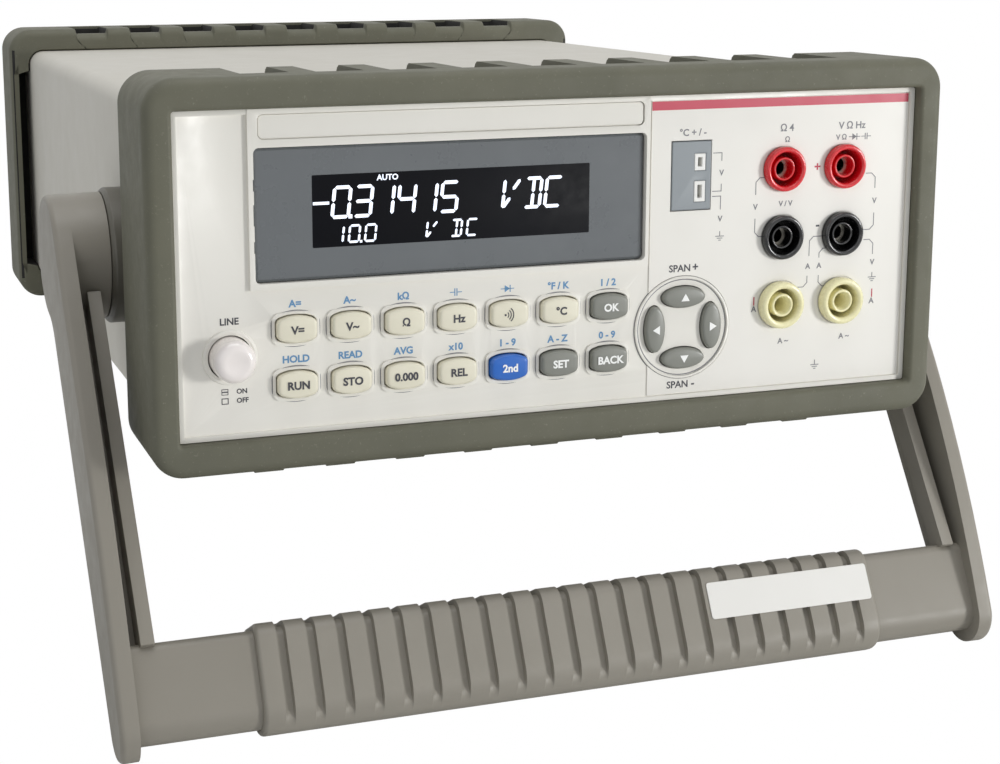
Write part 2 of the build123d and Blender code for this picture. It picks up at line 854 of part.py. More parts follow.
with BuildPart() as holder_shells:
    with BuildSketch(facing(panel_thickness + holder_length)):
        with Locations(*holder_holes):
            Circle(holder_body_radius + key_gap + shell_wall)
            Circle(holder_body_radius + key_gap, mode=Mode.SUBTRACT)
    extrude(amount=holder_length)
    with BuildSketch(facing(panel_thickness + holder_length)):
        with Locations(*holder_holes):
            Circle(holder_body_radius + key_gap + shell_wall)
    extrude(amount=-shell_end)
finish(holder_shells, "holder_shells")

meter_fuse_length = holder_length - contact_length + holder_flange_proud - holder_web
for holder_name, holder_place in holder_places.items():
    with BuildPart() as holder:
        with BuildSketch(facing(holder_length)):
            with Locations(holder_place):
                Circle(holder_body_radius)
        extrude(amount=holder_length + key_gap)
        with BuildSketch(facing(-key_gap)):
            with Locations(holder_place):
                Circle(holder_flange_radius)
        extrude(amount=holder_flange_proud - key_gap)
        fillet(holder.faces().sort_by(Axis.Y)[0].edges(), holder_edge_round)
        with BuildSketch(facing(jack_well_depth - holder_flange_proud)):
            with Locations(holder_place):
                Circle(jack_well_radius)
        extrude(amount=jack_well_depth, mode=Mode.SUBTRACT)
        with BuildSketch(facing(jack_well_depth - holder_flange_proud)):
            with Locations(holder_place):
                Circle(jack_tube_radius)
        extrude(amount=jack_well_depth - holder_tube_setback)
        with BuildSketch(facing(contact_length - holder_flange_proud)):
            with Locations(holder_place):
                Circle(plug_radius)
        extrude(amount=2 * jack_length, mode=Mode.SUBTRACT)
        # pocket for the fuse, open at the rear
        with BuildSketch(facing(holder_length)):
            with Locations(holder_place):
                Circle(fuse_radius + seat_gap)
        extrude(amount=meter_fuse_length, mode=Mode.SUBTRACT)
    finish(holder, holder_name)

for fuse_name, fuse_place in zip(("meter_fuse_left", "meter_fuse_right"), holder_holes):
    with BuildPart() as meter_fuse:
        with BuildSketch(facing(holder_length)):
            with Locations(fuse_place):
                Circle(fuse_radius)
        extrude(amount=meter_fuse_length)
    finish(meter_fuse, fuse_name)

with BuildPart() as thermocouple_socket:
    with BuildSketch(facing(thermo_depth)):
        with Locations(
            ((thermo_left + thermo_right) / 2, (thermo_bottom + thermo_top) / 2)
        ):
            Rectangle(thermo_right - thermo_left, thermo_top - thermo_bottom)
    extrude(amount=thermo_depth + thermo_proud)
    with BuildSketch(facing(thermo_slot_depth)):
        for frame_z, frame_height, slot_height in thermo_frames:
            with Locations((thermo_frame_x, frame_z)):
                Rectangle(thermo_frame_width, frame_height)
    extrude(amount=2 * thermo_slot_depth, mode=Mode.SUBTRACT)
finish(thermocouple_socket, "thermocouple_socket")

with BuildPart() as thermocouple_contacts:
    with BuildSketch(facing(thermo_slot_depth)):
        for frame_z, frame_height, slot_height in thermo_frames:
            with Locations((thermo_frame_x, frame_z)):
                Rectangle(thermo_frame_width, frame_height)
                Rectangle(thermo_slot_width, slot_height, mode=Mode.SUBTRACT)
    extrude(amount=thermo_slot_depth + thermo_proud)
finish(thermocouple_contacts, "thermocouple_contacts")

# ---------------------------------------------------------------------------------------- handle
# The arm's own plane: x along the arm from the pivot, y to the arm's front edge, z inwards.
down_y = -sin(radians(stand_angle))
down_z = -cos(radians(stand_angle))
splay = radians(arm_splay)
arm_axis = Vector(-sin(splay), down_y * cos(splay), down_z * cos(splay))
arm_inward = Vector(-cos(splay), -down_y * sin(splay), -down_z * sin(splay))
arm_plane = Plane(
    origin=(hub_face, pivot_y, pivot_z), x_dir=arm_axis, z_dir=arm_inward
)
bar_y = pivot_y + bar_reach * down_y
bar_z = pivot_z + bar_reach * down_z
bar_down = Vector(0, -sin(radians(bar_angle)), -cos(radians(bar_angle)))
# The grip's own plane, across it at the middle: x from its top to its bottom edge, y to its front.
bar_plane = Plane(origin=(0, bar_y, bar_z), x_dir=bar_down, z_dir=(-1, 0, 0))
bar_top = -bar_height / 2
hub_step = (hub_radius**2 - arm_end_radius**2) ** 0.5
# The arm's front edge falls from the hub's width to the round end's along one arc that meets both.
edge_drop = hub_radius - arm_end_radius
edge_run = arm_length - arm_straight
edge_turn = asin(2 * edge_drop * edge_run / (edge_run**2 + edge_drop**2))
edge_end = (arm_length + arm_end_radius * sin(edge_turn), arm_end_radius * cos(edge_turn))
rail_start = hub_radius - rail_sink
rail_length = bar_reach + bar_top + rail_sink - rail_start
rail_plane = Plane(
    origin=arm_plane.from_local_coords((rail_start, 0, 0)),
    x_dir=arm_plane.y_dir,
    z_dir=arm_plane.x_dir,
)
rail_depth = arm_plate + rail_groove + rail_lip


def bar_outline(margin=0.0):
    """The grip's section: tight corners along the top edge, wide ones along the bottom edge."""
    with BuildSketch() as outline:
        Rectangle(bar_height + 2 * margin, bar_thickness + 2 * margin)
        fillet(outline.vertices().group_by(Axis.X)[0], bar_top_corner + margin)
        fillet(outline.vertices().group_by(Axis.X)[-1], bar_bottom_corner + margin)
    return outline.sketch


with BuildPart() as carrying_handle:
    # outer plate of the right arm: hub disc, front edge, round end, straight rear edge
    with BuildSketch(arm_plane) as plate:
        with BuildLine():
            Line((0, hub_radius), (arm_straight, hub_radius))
            TangentArc((arm_straight, hub_radius), edge_end, tangent=(1, 0))
            ThreePointArc(
                edge_end, (arm_length + arm_end_radius, 0), (arm_length, -arm_end_radius)
            )
            Line((arm_length, -arm_end_radius), (0, -arm_end_radius))
            Line((0, -arm_end_radius), (0, hub_radius))
        make_face()
        Circle(hub_radius)
        inner_corner = plate.vertices().sort_by_distance((hub_step, -arm_end_radius, 0))[0]
        fillet(inner_corner, hub_step_round)
    extrude(amount=arm_plate)
    fillet(carrying_handle.faces().sort_by(Axis.X)[-1].edges(), arm_edge_round)
    # hub that turns against the case's boss
    with BuildSketch(arm_plane.offset(arm_plate / 2)):
        Circle(hub_radius)
    extrude(amount=hub_face - hub_inner)
    split(bisect_by=Plane.YZ.offset(hub_inner), keep=Keep.TOP)
    # grooved rail along the inside of the arm
    with BuildSketch(rail_plane):
        with BuildLine():
            Polyline(
                (rail_root_rear, arm_plate / 2),
                (rail_root_rear, arm_plate),
                (rail_rear, rail_depth),
                (rail_front, rail_depth),
                (rail_front, rail_depth - rail_lip),
                (rail_groove_floor, rail_depth - rail_lip),
                (rail_groove_floor, arm_plate / 2),
                close=True,
            )
        make_face()
    extrude(amount=rail_length)
    # half of the bar between the arms
    with BuildSketch(bar_plane):
        add(bar_outline())
    extrude(amount=-(hub_face - arm_plate - bar_sink))
    # blind bore for the pivot pin
    with BuildSketch(Plane.YZ.offset(hub_inner)):
        with Locations((pivot_y, pivot_z)):
            Circle(pivot_pin_radius + running_gap)
    extrude(amount=pivot_pin_grip + key_gap, mode=Mode.SUBTRACT)
    mirror(about=Plane.YZ)
finish(carrying_handle, "carrying_handle")

skin_thickness = bar_thickness + 2 * sleeve_skin
rib_pitch = (sleeve_length + rib_slot) / rib_count
first_slot = (rib_count - 2) / 2 * rib_pitch
slot_top = bar_top - seat_gap
slot_front = bar_thickness / 2 + seat_gap
slot_corner = bar_top_corner + seat_gap
with BuildPart() as grip_sleeve:
    with BuildSketch(bar_plane.offset(-sleeve_length / 2)):
        add(bar_outline(sleeve_skin))
        add(bar_outline(running_gap), mode=Mode.SUBTRACT)
    extrude(amount=sleeve_length)
    # slots between the ribs: over the top edge and down the front, running out at the bottom edge
    for index in range(rib_count - 1):
        slot_x = first_slot - index * rib_pitch
        with BuildSketch(bar_plane.offset(-slot_x - rib_slot / 2)):
            with BuildLine():
                Polyline(
                    (rib_slot_end, slot_front),
                    (rib_slot_end, skin_thickness),
                    (2 * bar_top, skin_thickness),
                    (2 * bar_top, 0),
                    (slot_top, 0),
                    (slot_top, slot_front - slot_corner),
                )
                TangentArc(
                    (slot_top, slot_front - slot_corner),
                    (slot_top + slot_corner, slot_front),
                    tangent=(0, 1),
                )
                Line((slot_top + slot_corner, slot_front), (rib_slot_end, slot_front))
            make_face()
        extrude(amount=rib_slot, mode=Mode.SUBTRACT)
finish(grip_sleeve, "grip_sleeve")

label_plane = Plane(
    origin=bar_plane.from_local_coords((0, skin_thickness / 2, 0)),
    x_dir=(1, 0, 0),
    z_dir=bar_plane.y_dir,
)
grip_label_x = sleeve_length / 2 - grip_label_inset - grip_label_length / 2
grip_label_rise = sleeve_skin - bar_top - grip_label_drop - grip_label_height / 2
with BuildPart() as grip_label:
    with BuildSketch(label_plane):
        with Locations((grip_label_x, grip_label_rise)):
            Rectangle(grip_label_length, grip_label_height)
    extrude(amount=grip_label_thickness)
finish(grip_label, "grip_label")

with BuildPart() as pivot_bosses:
    with BuildSketch(Plane.YZ.offset(case_side)):
        with Locations((pivot_y, pivot_z)):
            Circle(boss_radius)
    extrude(amount=boss_height)
    chamfer(pivot_bosses.faces().sort_by(Axis.X)[-1].edges(), boss_chamfer)
    with BuildSketch(Plane.YZ.offset(case_side)):
        with Locations((pivot_y, pivot_z)):
            Circle(pivot_pin_radius + seat_gap)
    extrude(amount=boss_height, mode=Mode.SUBTRACT)
    mirror(about=Plane.YZ)
finish(pivot_bosses, "pivot_bosses")

with BuildPart() as pivot_pins:
    with BuildSketch(Plane.YZ.offset(inside_width / 2)):
        with Locations((pivot_y, pivot_z)):
            Circle(pivot_head_radius)
    extrude(amount=-pivot_head_thickness)
    with BuildSketch(Plane.YZ.offset(inside_width / 2 - pivot_head_thickness)):
        with Locations((pivot_y, pivot_z)):
            Circle(pivot_pin_radius)
    extrude(amount=hub_inner + pivot_pin_grip - inside_width / 2 + pivot_head_thickness)
    mirror(about=Plane.YZ)
finish(pivot_pins, "pivot_pins")

# ------------------------------------------------------------------------------------------ inside
board_level = tray_floor + tray_thickness + standoff_height
board_middle_x = (main_board_left + main_board_right) / 2
board_middle_y = (main_board_front + main_board_rear) / 2
board_width = main_board_right - main_board_left
board_length = main_board_rear - main_board_front
standoff_pitch_x = board_width - 2 * standoff_inset
standoff_pitch_y = (board_length - 2 * standoff_inset) / 2
with BuildPart() as main_board:
    with BuildSketch(Plane.XY.offset(board_level)):
        with Locations((board_middle_x, board_middle_y)):
            Rectangle(board_width, board_length)
            with GridLocations(standoff_pitch_x, standoff_pitch_y, 2, 3):
                Circle(screw_radius + seat_gap, mode=Mode.SUBTRACT)
    extrude(amount=board_thickness)
finish(main_board, "main_board")

with BuildPart() as board_standoffs:
    with BuildSketch(Plane.XY.offset(tray_floor + tray_thickness)):
        with Locations((board_middle_x, board_middle_y)):
            with GridLocations(standoff_pitch_x, standoff_pitch_y, 2, 3):
                Circle(standoff_radius)
                Circle(screw_radius + running_gap, mode=Mode.SUBTRACT)
    extrude(amount=standoff_height)
finish(board_standoffs, "board_standoffs")

with BuildPart() as transformer:
    core_bottom = tray_floor + tray_thickness
    with BuildSketch(Plane.XY.offset(core_bottom)):
        with Locations((transformer_x, transformer_y)):
            Rectangle(transformer_width, transformer_stack)
    extrude(amount=transformer_height)
    with BuildSketch(Plane.XY.offset(core_bottom + winding_rise)):
        with Locations((transformer_x, transformer_y)):
            RectangleRounded(winding_width, transformer_depth, winding_corner)
    extrude(amount=winding_height)
finish(transformer, "transformer")

with BuildPart() as input_shield:
    shield_level = board_level + board_thickness
    with BuildSketch(Plane.XY.offset(shield_level)):
        with Locations((shield_x, shield_y)):
            Rectangle(shield_width, shield_depth)
    extrude(amount=shield_height)
    with BuildSketch(Plane.XY.offset(shield_level)):
        with Locations((shield_x, shield_y)):
            Rectangle(shield_width - 2 * shield_wall, shield_depth - 2 * shield_wall)
    extrude(amount=shield_height - shield_wall, mode=Mode.SUBTRACT)
finish(input_shield, "input_shield")

# -------------------------------------------------------------------------------------- rear panel
inlet_body_width = inlet_cavity_width + 2 * inlet_body_wall
inlet_body_height = drawer_rise + inlet_cavity_height / 2 + drawer_height / 2 + 2 * inlet_body_wall
inlet_body_z = (
    inlet_z
    + (drawer_rise + drawer_height / 2 - inlet_cavity_height / 2) / 2
)
drawer_z = inlet_z + drawer_rise
inlet_back = rear_panel_back + inlet_flange_proud
corner_screw_x = rear_opening_width / 2 - corner_screw_inset_x
corner_screw_z = rear_opening_height / 2 - corner_screw_inset_z
corner_screws = [
    (side_x * corner_screw_x, side_z * corner_screw_z) for side_x in (-1, 1) for side_z in (-1, 1)
]
option_width = option_opening_width + 2 * option_margin
option_height = option_opening_height + 2 * option_margin
option_screws = [
    (option_x + side * (option_width / 2 - option_margin / 2), option_z) for side in (-1, 1)
]
with BuildPart() as rear_panel:
    with BuildSketch(facing(rear_panel_back)):
        RectangleRounded(
            case_width - 2 * seat_gap, case_height - 2 * seat_gap, case_corner - seat_gap
        )
        with Locations((inlet_x, inlet_body_z)):
            Rectangle(
                inlet_body_width + 2 * seat_gap,
                inlet_body_height + 2 * seat_gap,
                mode=Mode.SUBTRACT,
            )
        with Locations((usb_x, usb_z)):
            Rectangle(usb_width + 2 * seat_gap, usb_height + 2 * seat_gap, mode=Mode.SUBTRACT)
        with Locations(*bnc_positions):
            Circle(bnc_tail_radius + seat_gap, mode=Mode.SUBTRACT)
        with Locations((option_x, option_z)):
            Rectangle(option_opening_width, option_opening_height, mode=Mode.SUBTRACT)
        with Locations((ground_x, ground_z)):
            Circle(ground_radius + seat_gap, mode=Mode.SUBTRACT)
        with Locations(*corner_screws, *option_screws):
            Circle(screw_radius + seat_gap, mode=Mode.SUBTRACT)
    extrude(amount=rear_panel_thickness)
finish(rear_panel, "rear_panel")

with BuildPart() as mains_inlet:
    with BuildSketch(facing(inlet_back)):
        with Locations((inlet_x, inlet_body_z)):
            RectangleRounded(inlet_flange_width, inlet_flange_height, inlet_flange_corner)
    extrude(amount=inlet_flange_proud)
    with BuildSketch(facing(rear_panel_back)):
        with Locations((inlet_x, inlet_body_z)):
            Rectangle(inlet_body_width, inlet_body_height)
    extrude(amount=inlet_body_length)
    with BuildSketch(facing(inlet_back)) as cavity:
        with Locations((inlet_x, inlet_z)):
            Rectangle(inlet_cavity_width, inlet_cavity_height)
        chamfer(cavity.vertices().group_by(Axis.Z)[0], inlet_cavity_chamfer)
    extrude(amount=inlet_cavity_depth, mode=Mode.SUBTRACT)
    with BuildSketch(facing(inlet_back)):
        with Locations((inlet_x, drawer_z)):
            Rectangle(drawer_width + 2 * key_gap, drawer_height + 2 * key_gap)
    extrude(amount=drawer_length + key_gap, mode=Mode.SUBTRACT)
    pin_places = [
        (inlet_x - inlet_pin_spread, inlet_z - inlet_pin_drop),
        (inlet_x + inlet_pin_spread, inlet_z - inlet_pin_drop),
        (inlet_x, inlet_z + inlet_earth_rise),
    ]
    with BuildSketch(facing(rear_panel_back)):
        with Locations(*pin_places):
            Rectangle(
                inlet_pin_width + 2 * seat_gap, inlet_pin_height + 2 * seat_gap
            )
    extrude(amount=inlet_body_length + seat_gap, mode=Mode.SUBTRACT)
finish(mains_inlet, "mains_inlet")

with BuildPart() as inlet_pins:
    with BuildSketch(facing(inlet_back - inlet_pin_setback)):
        with Locations(*pin_places):
            Rectangle(inlet_pin_width, inlet_pin_height)
    extrude(amount=inlet_body_length + inlet_pin_setback + inlet_pin_tail)
finish(inlet_pins, "inlet_pins")

with BuildPart() as fuse_drawer:
    with BuildSketch(facing(inlet_back)):
        with Locations((inlet_x, drawer_z)):
            Rectangle(drawer_width, drawer_height)
    extrude(amount=drawer_length)
    with BuildSketch(facing(inlet_back + drawer_lip)):
        with Locations((inlet_x, drawer_z)):
            RectangleRounded(
                drawer_width - 2 * drawer_lip_inset,
                drawer_height - 2 * drawer_lip_inset,
                drawer_lip_corner,
            )
    extrude(amount=drawer_lip)
    with BuildSketch(Plane.YZ.offset(inlet_x)):
        with Locations((inlet_back - drawer_length / 2, drawer_z)):
            Rectangle(
                drawer_length - 2 * drawer_end_wall, 2 * line_fuse_radius + 2 * seat_gap
            )
    extrude(amount=line_fuse_length / 2 + seat_gap, both=True, mode=Mode.SUBTRACT)
finish(fuse_drawer, "fuse_drawer")

with BuildPart() as line_fuse:
    with BuildSketch(Plane.YZ.offset(inlet_x - line_fuse_length / 2)):
        with Locations((inlet_back - drawer_length / 2, drawer_z)):
            Circle(line_fuse_radius)
    extrude(amount=line_fuse_length)
finish(line_fuse, "line_fuse")

with BuildPart() as usb_port:
    with BuildSketch(facing(rear_panel_back + usb_proud)):
        with Locations((usb_x, usb_z)):
            Rectangle(usb_width, usb_height)
    extrude(amount=usb_depth + usb_back)
    with BuildSketch(facing(rear_panel_back + usb_proud)):
        with Locations((usb_x, usb_z)):
            Rectangle(usb_width - 2 * usb_wall, usb_height - 2 * usb_wall)
    extrude(amount=usb_depth - usb_back, mode=Mode.SUBTRACT)
    with BuildSketch(facing(rear_panel_back)):
        with Locations((usb_x, usb_z)):
            Rectangle(usb_tongue_width, usb_tongue_height)
    extrude(amount=usb_depth)
    with BuildSketch(facing(sleeve_rear)):
        with Locations((usb_x, usb_z)):
            Rectangle(
                usb_width + 2 * usb_collar_border, usb_height + 2 * usb_collar_border
            )
    extrude(amount=usb_collar_thickness)
finish(usb_port, "usb_port")

bnc_lugs = [(x, rear_panel_back + bnc_length - bnc_lug_setback) for x, z in bnc_positions]
with BuildPart() as bnc_sockets:
    with BuildSketch(facing(rear_panel_back + bnc_length)):
        with Locations(*bnc_positions):
            Circle(bnc_radius)
            Circle(bnc_bore, mode=Mode.SUBTRACT)
    extrude(amount=bnc_length)
    with BuildSketch(facing(rear_panel_back + bnc_nut_thickness)):
        with Locations(*bnc_positions):
            RegularPolygon(bnc_nut_radius, 6)
    extrude(amount=bnc_nut_thickness)
    with BuildSketch(facing(rear_panel_back + bnc_length - bnc_bore_depth)):
        with Locations(*bnc_positions):
            Circle(bnc_tail_radius)
    extrude(amount=bnc_length - bnc_bore_depth + bnc_tail_length)
    with BuildSketch(facing(rear_panel_back + bnc_length - bnc_pin_setback)):
        with Locations(*bnc_positions):
            Circle(bnc_pin_radius)
    extrude(amount=bnc_bore_depth)
    with BuildSketch(Plane.XY.offset(bnc_positions[0][1] - bnc_radius - bnc_lug_reach)):
        with Locations(*bnc_lugs):
            Circle(bnc_lug_radius)
    extrude(amount=bnc_lug_reach + bnc_lug_root)
    with BuildSketch(Plane.XY.offset(bnc_positions[0][1] + bnc_radius + bnc_lug_reach)):
        with Locations(*bnc_lugs):
            Circle(bnc_lug_radius)
    extrude(amount=-bnc_lug_reach - bnc_lug_root)
finish(bnc_sockets, "bnc_sockets")

with BuildPart() as option_cover:
    with BuildSketch(facing(rear_panel_back + option_thickness)):
        with Locations((option_x, option_z)):
            RectangleRounded(option_width, option_height, option_corner)
        with Locations(*option_screws):
            Circle(screw_radius + seat_gap, mode=Mode.SUBTRACT)
    extrude(amount=option_thickness)
finish(option_cover, "option_cover")

with BuildPart() as ground_terminal:
    with BuildSketch(facing(rear_panel_back + ground_stud_length)):
        with Locations((ground_x, ground_z)):
            Circle(ground_radius)
    extrude(amount=ground_stud_length + rear_panel_thickness)
    with BuildSketch(facing(rear_panel_back + ground_washer_thickness)):
        with Locations((ground_x, ground_z)):
            Circle(ground_washer_radius)
    extrude(amount=ground_washer_thickness)
    with BuildSketch(facing(rear_panel_back + ground_washer_thickness + ground_nut_height)):
        with Locations((ground_x, ground_z)):
            RegularPolygon(ground_nut_radius, 6)
    extrude(amount=ground_nut_height)
    with BuildSketch(facing(sleeve_rear)):
        with Locations((ground_x, ground_z)):
            Circle(ground_washer_radius)
    extrude(amount=ground_backing)
finish(ground_terminal, "ground_terminal")

with BuildPart() as fixing_screws:
    with BuildSketch(facing(rear_panel_back + screw_head_height)):
        with Locations(*corner_screws):
            Circle(screw_head_radius)
    extrude(amount=screw_head_height)
    with BuildSketch(facing(rear_panel_back)):
        with Locations(*corner_screws):
            Circle(screw_radius)
    extrude(amount=screw_length)
    with BuildSketch(facing(rear_panel_back + option_thickness + screw_head_height)):
        with Locations(*option_screws):
            Circle(screw_head_radius)
    extrude(amount=screw_head_height)
    with BuildSketch(facing(rear_panel_back + option_thickness)):
        with Locations(*option_screws):
            Circle(screw_radius)
    extrude(amount=screw_length)
    with BuildSketch(Plane.XY.offset(board_level + board_thickness)):
        with Locations((board_middle_x, board_middle_y)):
            with GridLocations(standoff_pitch_x, standoff_pitch_y, 2, 3):
                Circle(screw_head_radius)
    extrude(amount=screw_head_height)
    with BuildSketch(Plane.XY.offset(board_level + board_thickness)):
        with Locations((board_middle_x, board_middle_y)):
            with GridLocations(standoff_pitch_x, standoff_pitch_y, 2, 3):
                Circle(screw_radius)
    extrude(amount=-screw_length)
finish(fixing_screws, "fixing_screws")

# ---------------------------------------------------------------------------------------- stance
# The instrument stands on the round ends of the handle's arms and on the rear edge of the rear feet:
# the line that touches both from below is the bench.
foot_slope = foot_height * tan(radians(foot_draft))
heel_y = rear_bumper_rear - rear_foot_setback - foot_slope
heel_z = -rear_bumper_height / 2 - foot_height
toe_y = pivot_y + arm_length * down_y * cos(splay)
toe_z = pivot_z + arm_length * down_z * cos(splay)
reach = hypot(heel_y - toe_y, heel_z - toe_z)
stance_angle = degrees(
    atan2(heel_z - toe_z, heel_y - toe_y) + asin(arm_end_radius / reach)
)
tilt = Location((0, 0, 0), (-stance_angle, 0, 0))
tilted = [piece.moved(tilt) for piece in pieces]
outer_names = ("front_bumper", "rear_bumper", "carrying_handle", "grip_sleeve")
outer_boxes = [piece.bounding_box() for piece in tilted if piece.label in outer_names]
bench_level = min(box.min.Z for box in outer_boxes)
middle_y = (min(box.min.Y for box in outer_boxes) + max(box.max.Y for box in outer_boxes)) / 2
stance = Location((0, -middle_y, -bench_level), (-stance_angle, 0, 0))

if __name__ == "__main__":
    os.makedirs("parts", exist_ok=True)
    for piece in pieces:
        placed = piece.moved(stance)
        placed.label = piece.label
        export_step(placed, f"parts/{piece.label}.step")
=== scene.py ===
"""The looks of a bench multimeter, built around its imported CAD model.

Sizes in the classes are millimetres in the instrument's own level axes: x to the right, y from the
front panel's face to the rear, z up, with the origin in the middle of the panel's face. A Stance turns
them into the frame's metres, with the instrument propped up on its handle.
"""

import json
import logging
import math
from dataclasses import dataclass, field
from enum import Enum
from functools import partial

import bmesh
import bpy
import numpy as np
from mathutils import Matrix, Vector

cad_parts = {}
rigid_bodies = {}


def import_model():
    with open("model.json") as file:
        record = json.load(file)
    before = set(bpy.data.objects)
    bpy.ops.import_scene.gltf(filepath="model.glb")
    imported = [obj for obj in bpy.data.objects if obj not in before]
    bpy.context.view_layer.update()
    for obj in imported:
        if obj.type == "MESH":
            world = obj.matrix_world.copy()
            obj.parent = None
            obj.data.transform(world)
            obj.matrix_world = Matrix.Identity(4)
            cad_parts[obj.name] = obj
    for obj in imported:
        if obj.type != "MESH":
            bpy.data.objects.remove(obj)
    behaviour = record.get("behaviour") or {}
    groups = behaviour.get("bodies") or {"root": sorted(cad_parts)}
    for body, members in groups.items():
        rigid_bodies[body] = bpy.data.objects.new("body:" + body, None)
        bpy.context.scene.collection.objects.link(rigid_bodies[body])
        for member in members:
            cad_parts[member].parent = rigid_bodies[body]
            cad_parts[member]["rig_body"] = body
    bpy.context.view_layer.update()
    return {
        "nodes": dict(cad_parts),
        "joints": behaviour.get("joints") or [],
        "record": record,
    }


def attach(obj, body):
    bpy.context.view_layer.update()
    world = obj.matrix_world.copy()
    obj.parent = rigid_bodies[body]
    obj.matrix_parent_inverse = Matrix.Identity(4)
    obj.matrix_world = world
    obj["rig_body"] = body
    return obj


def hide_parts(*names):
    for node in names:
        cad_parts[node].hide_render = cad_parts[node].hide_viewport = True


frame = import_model()
MM = 0.001
LOG = logging.getLogger("multimeter")

Tree = bpy.types.NodeTree
Socket = bpy.types.NodeSocket
Point = tuple[float, float]
Place = tuple[float, float, float]


class Side(Enum):
    """The left or right of a pair, as the user faces the instrument."""

    LEFT = -1
    RIGHT = 1


class Align(Enum):
    """Where a legend's given place lies along its line."""

    LEFT = "LEFT"
    CENTRE = "CENTER"
    RIGHT = "RIGHT"


# ------------------------------------------------------------------------------------ the stance
@dataclass(frozen=True)
class Stance:
    """How the level instrument stands in the frame."""

    turn: np.ndarray
    origin: np.ndarray
    pivot: Place = (0.0, 62.3, -2.7)

    @classmethod
    def from_frame(cls, joints: list[dict]) -> "Stance":
        """Reads the tilt from a key's direction of travel, and the place from the handle's pivot.

        Args:
            joints: the frame's joints.

        Returns:
            The stance.
        """
        by_name = {joint["name"]: joint for joint in joints}
        inward = np.array(by_name["press_ohms"]["axis"], float)
        inward /= np.linalg.norm(inward)
        across = np.array((1.0, 0.0, 0.0))
        turn = np.column_stack((across, inward, np.cross(across, inward)))
        pivot = np.array(by_name["handle_swing"]["pos_m"], float)
        return cls(turn, pivot - turn @ (np.array(cls.pivot) * MM))

    def place(self, points: np.ndarray) -> np.ndarray:
        """Level millimetres to the frame's metres, for an array of points."""
        return np.asarray(points, float) * MM @ self.turn.T + self.origin

    def level(self, places: np.ndarray) -> np.ndarray:
        """The frame's metres back to level millimetres, for an array of points."""
        return (np.asarray(places, float) - self.origin) @ self.turn / MM

    def direction(self, vector: Place) -> Vector:
        """A level direction in the frame's axes."""
        return Vector(self.turn @ np.array(vector, float))


STANCE = Stance.from_frame(frame["joints"])


# -------------------------------------------------------------------------------------- materials
def linear(hex_colour: str) -> tuple[float, float, float, float]:
    """Turns an sRGB hex colour into linear light.

    Args:
        hex_colour: six hex digits, such as "C9C5BA".

    Returns:
        Red, green, blue and an alpha of 1.
    """
    shares = np.array([int(hex_colour[i:i + 2], 16) for i in (0, 2, 4)]) / 255
    low = shares / 12.92
    high = ((shares + 0.055) / 1.055) ** 2.4
    return (*np.where(shares <= 0.04045, low, high).tolist(), 1.0)


def add_node(
    tree: Tree,
    kind: str,
    inputs: dict[str, object] | None = None,
    **settings: object,
) -> bpy.types.Node:
    """Adds one shader node with its settings and links.

    Args:
        tree: the material's node tree.
        kind: the node's type, without "ShaderNode".
        inputs: values or other nodes' output sockets, by input name or index.
        **settings: the node's own properties.

    Returns:
        The node.
    """
    node = tree.nodes.new("ShaderNode" + kind)
    for name, value in settings.items():
        setattr(node, name, value)
    for name, value in (inputs or {}).items():
        if isinstance(value, Socket):
            tree.links.new(value, node.inputs[name])
        else:
            node.inputs[name].default_value = value
    return node


def per_mm(size: float) -> float:
    """The texture scale of a pattern whose features are that many millimetres apart."""
    return 1.0 / (size * MM)


def noise(tree: Tree, coords: Socket, size: float, detail: float, roughness: float = 0.5) -> Socket:
    """Adds a cloudy noise whose features are size millimetres apart, and gives its value."""
    return add_node(tree, "TexNoise", {
        "Vector": coords, "Scale": per_mm(size), "Detail": detail, "Roughness": roughness}).outputs["Fac"]


def remap(tree: Tree, value: Socket, source: Point, target: Point) -> Socket:
    """Maps a value from one range to another, and clips it there."""
    return add_node(tree, "MapRange", {
        "Value": value, "From Min": source[0], "From Max": source[1],
        "To Min": target[0], "To Max": target[1]}).outputs["Result"]


def blend(tree: Tree, share: Socket, first: object, second: object) -> Socket:
    """Mixes two colours, each a socket or linear light, by a share."""
    return add_node(tree, "Mix", {"Factor": share, 6: first, 7: second}, data_type="RGBA").outputs[2]


def empty_tree(owner: bpy.types.Material | bpy.types.World) -> Tree:
    """Gives a material or a world an empty node tree."""
    owner.use_nodes = True
    owner.node_tree.nodes.clear()
    return owner.node_tree


@dataclass(frozen=True)
class Coating:
    """A named material of one colour. Its kinds say how its shader is made."""

    name: str
    colour: str

    def shader(self, tree: Tree, coords: Socket) -> Socket:
        """Adds the shader's nodes, and gives its surface."""
        raise NotImplementedError

    def material(self) -> bpy.types.Material:
        """Makes the material, or finds the one made before."""
        made = bpy.data.materials.get(self.name)
        if made:
            return made
        made = bpy.data.materials.new(self.name)
        made.diffuse_color = linear(self.colour)
        tree = empty_tree(made)
        coords = add_node(tree, "TexCoord").outputs["Object"]
        add_node(tree, "OutputMaterial", {"Surface": self.shader(tree, coords)})
        return made


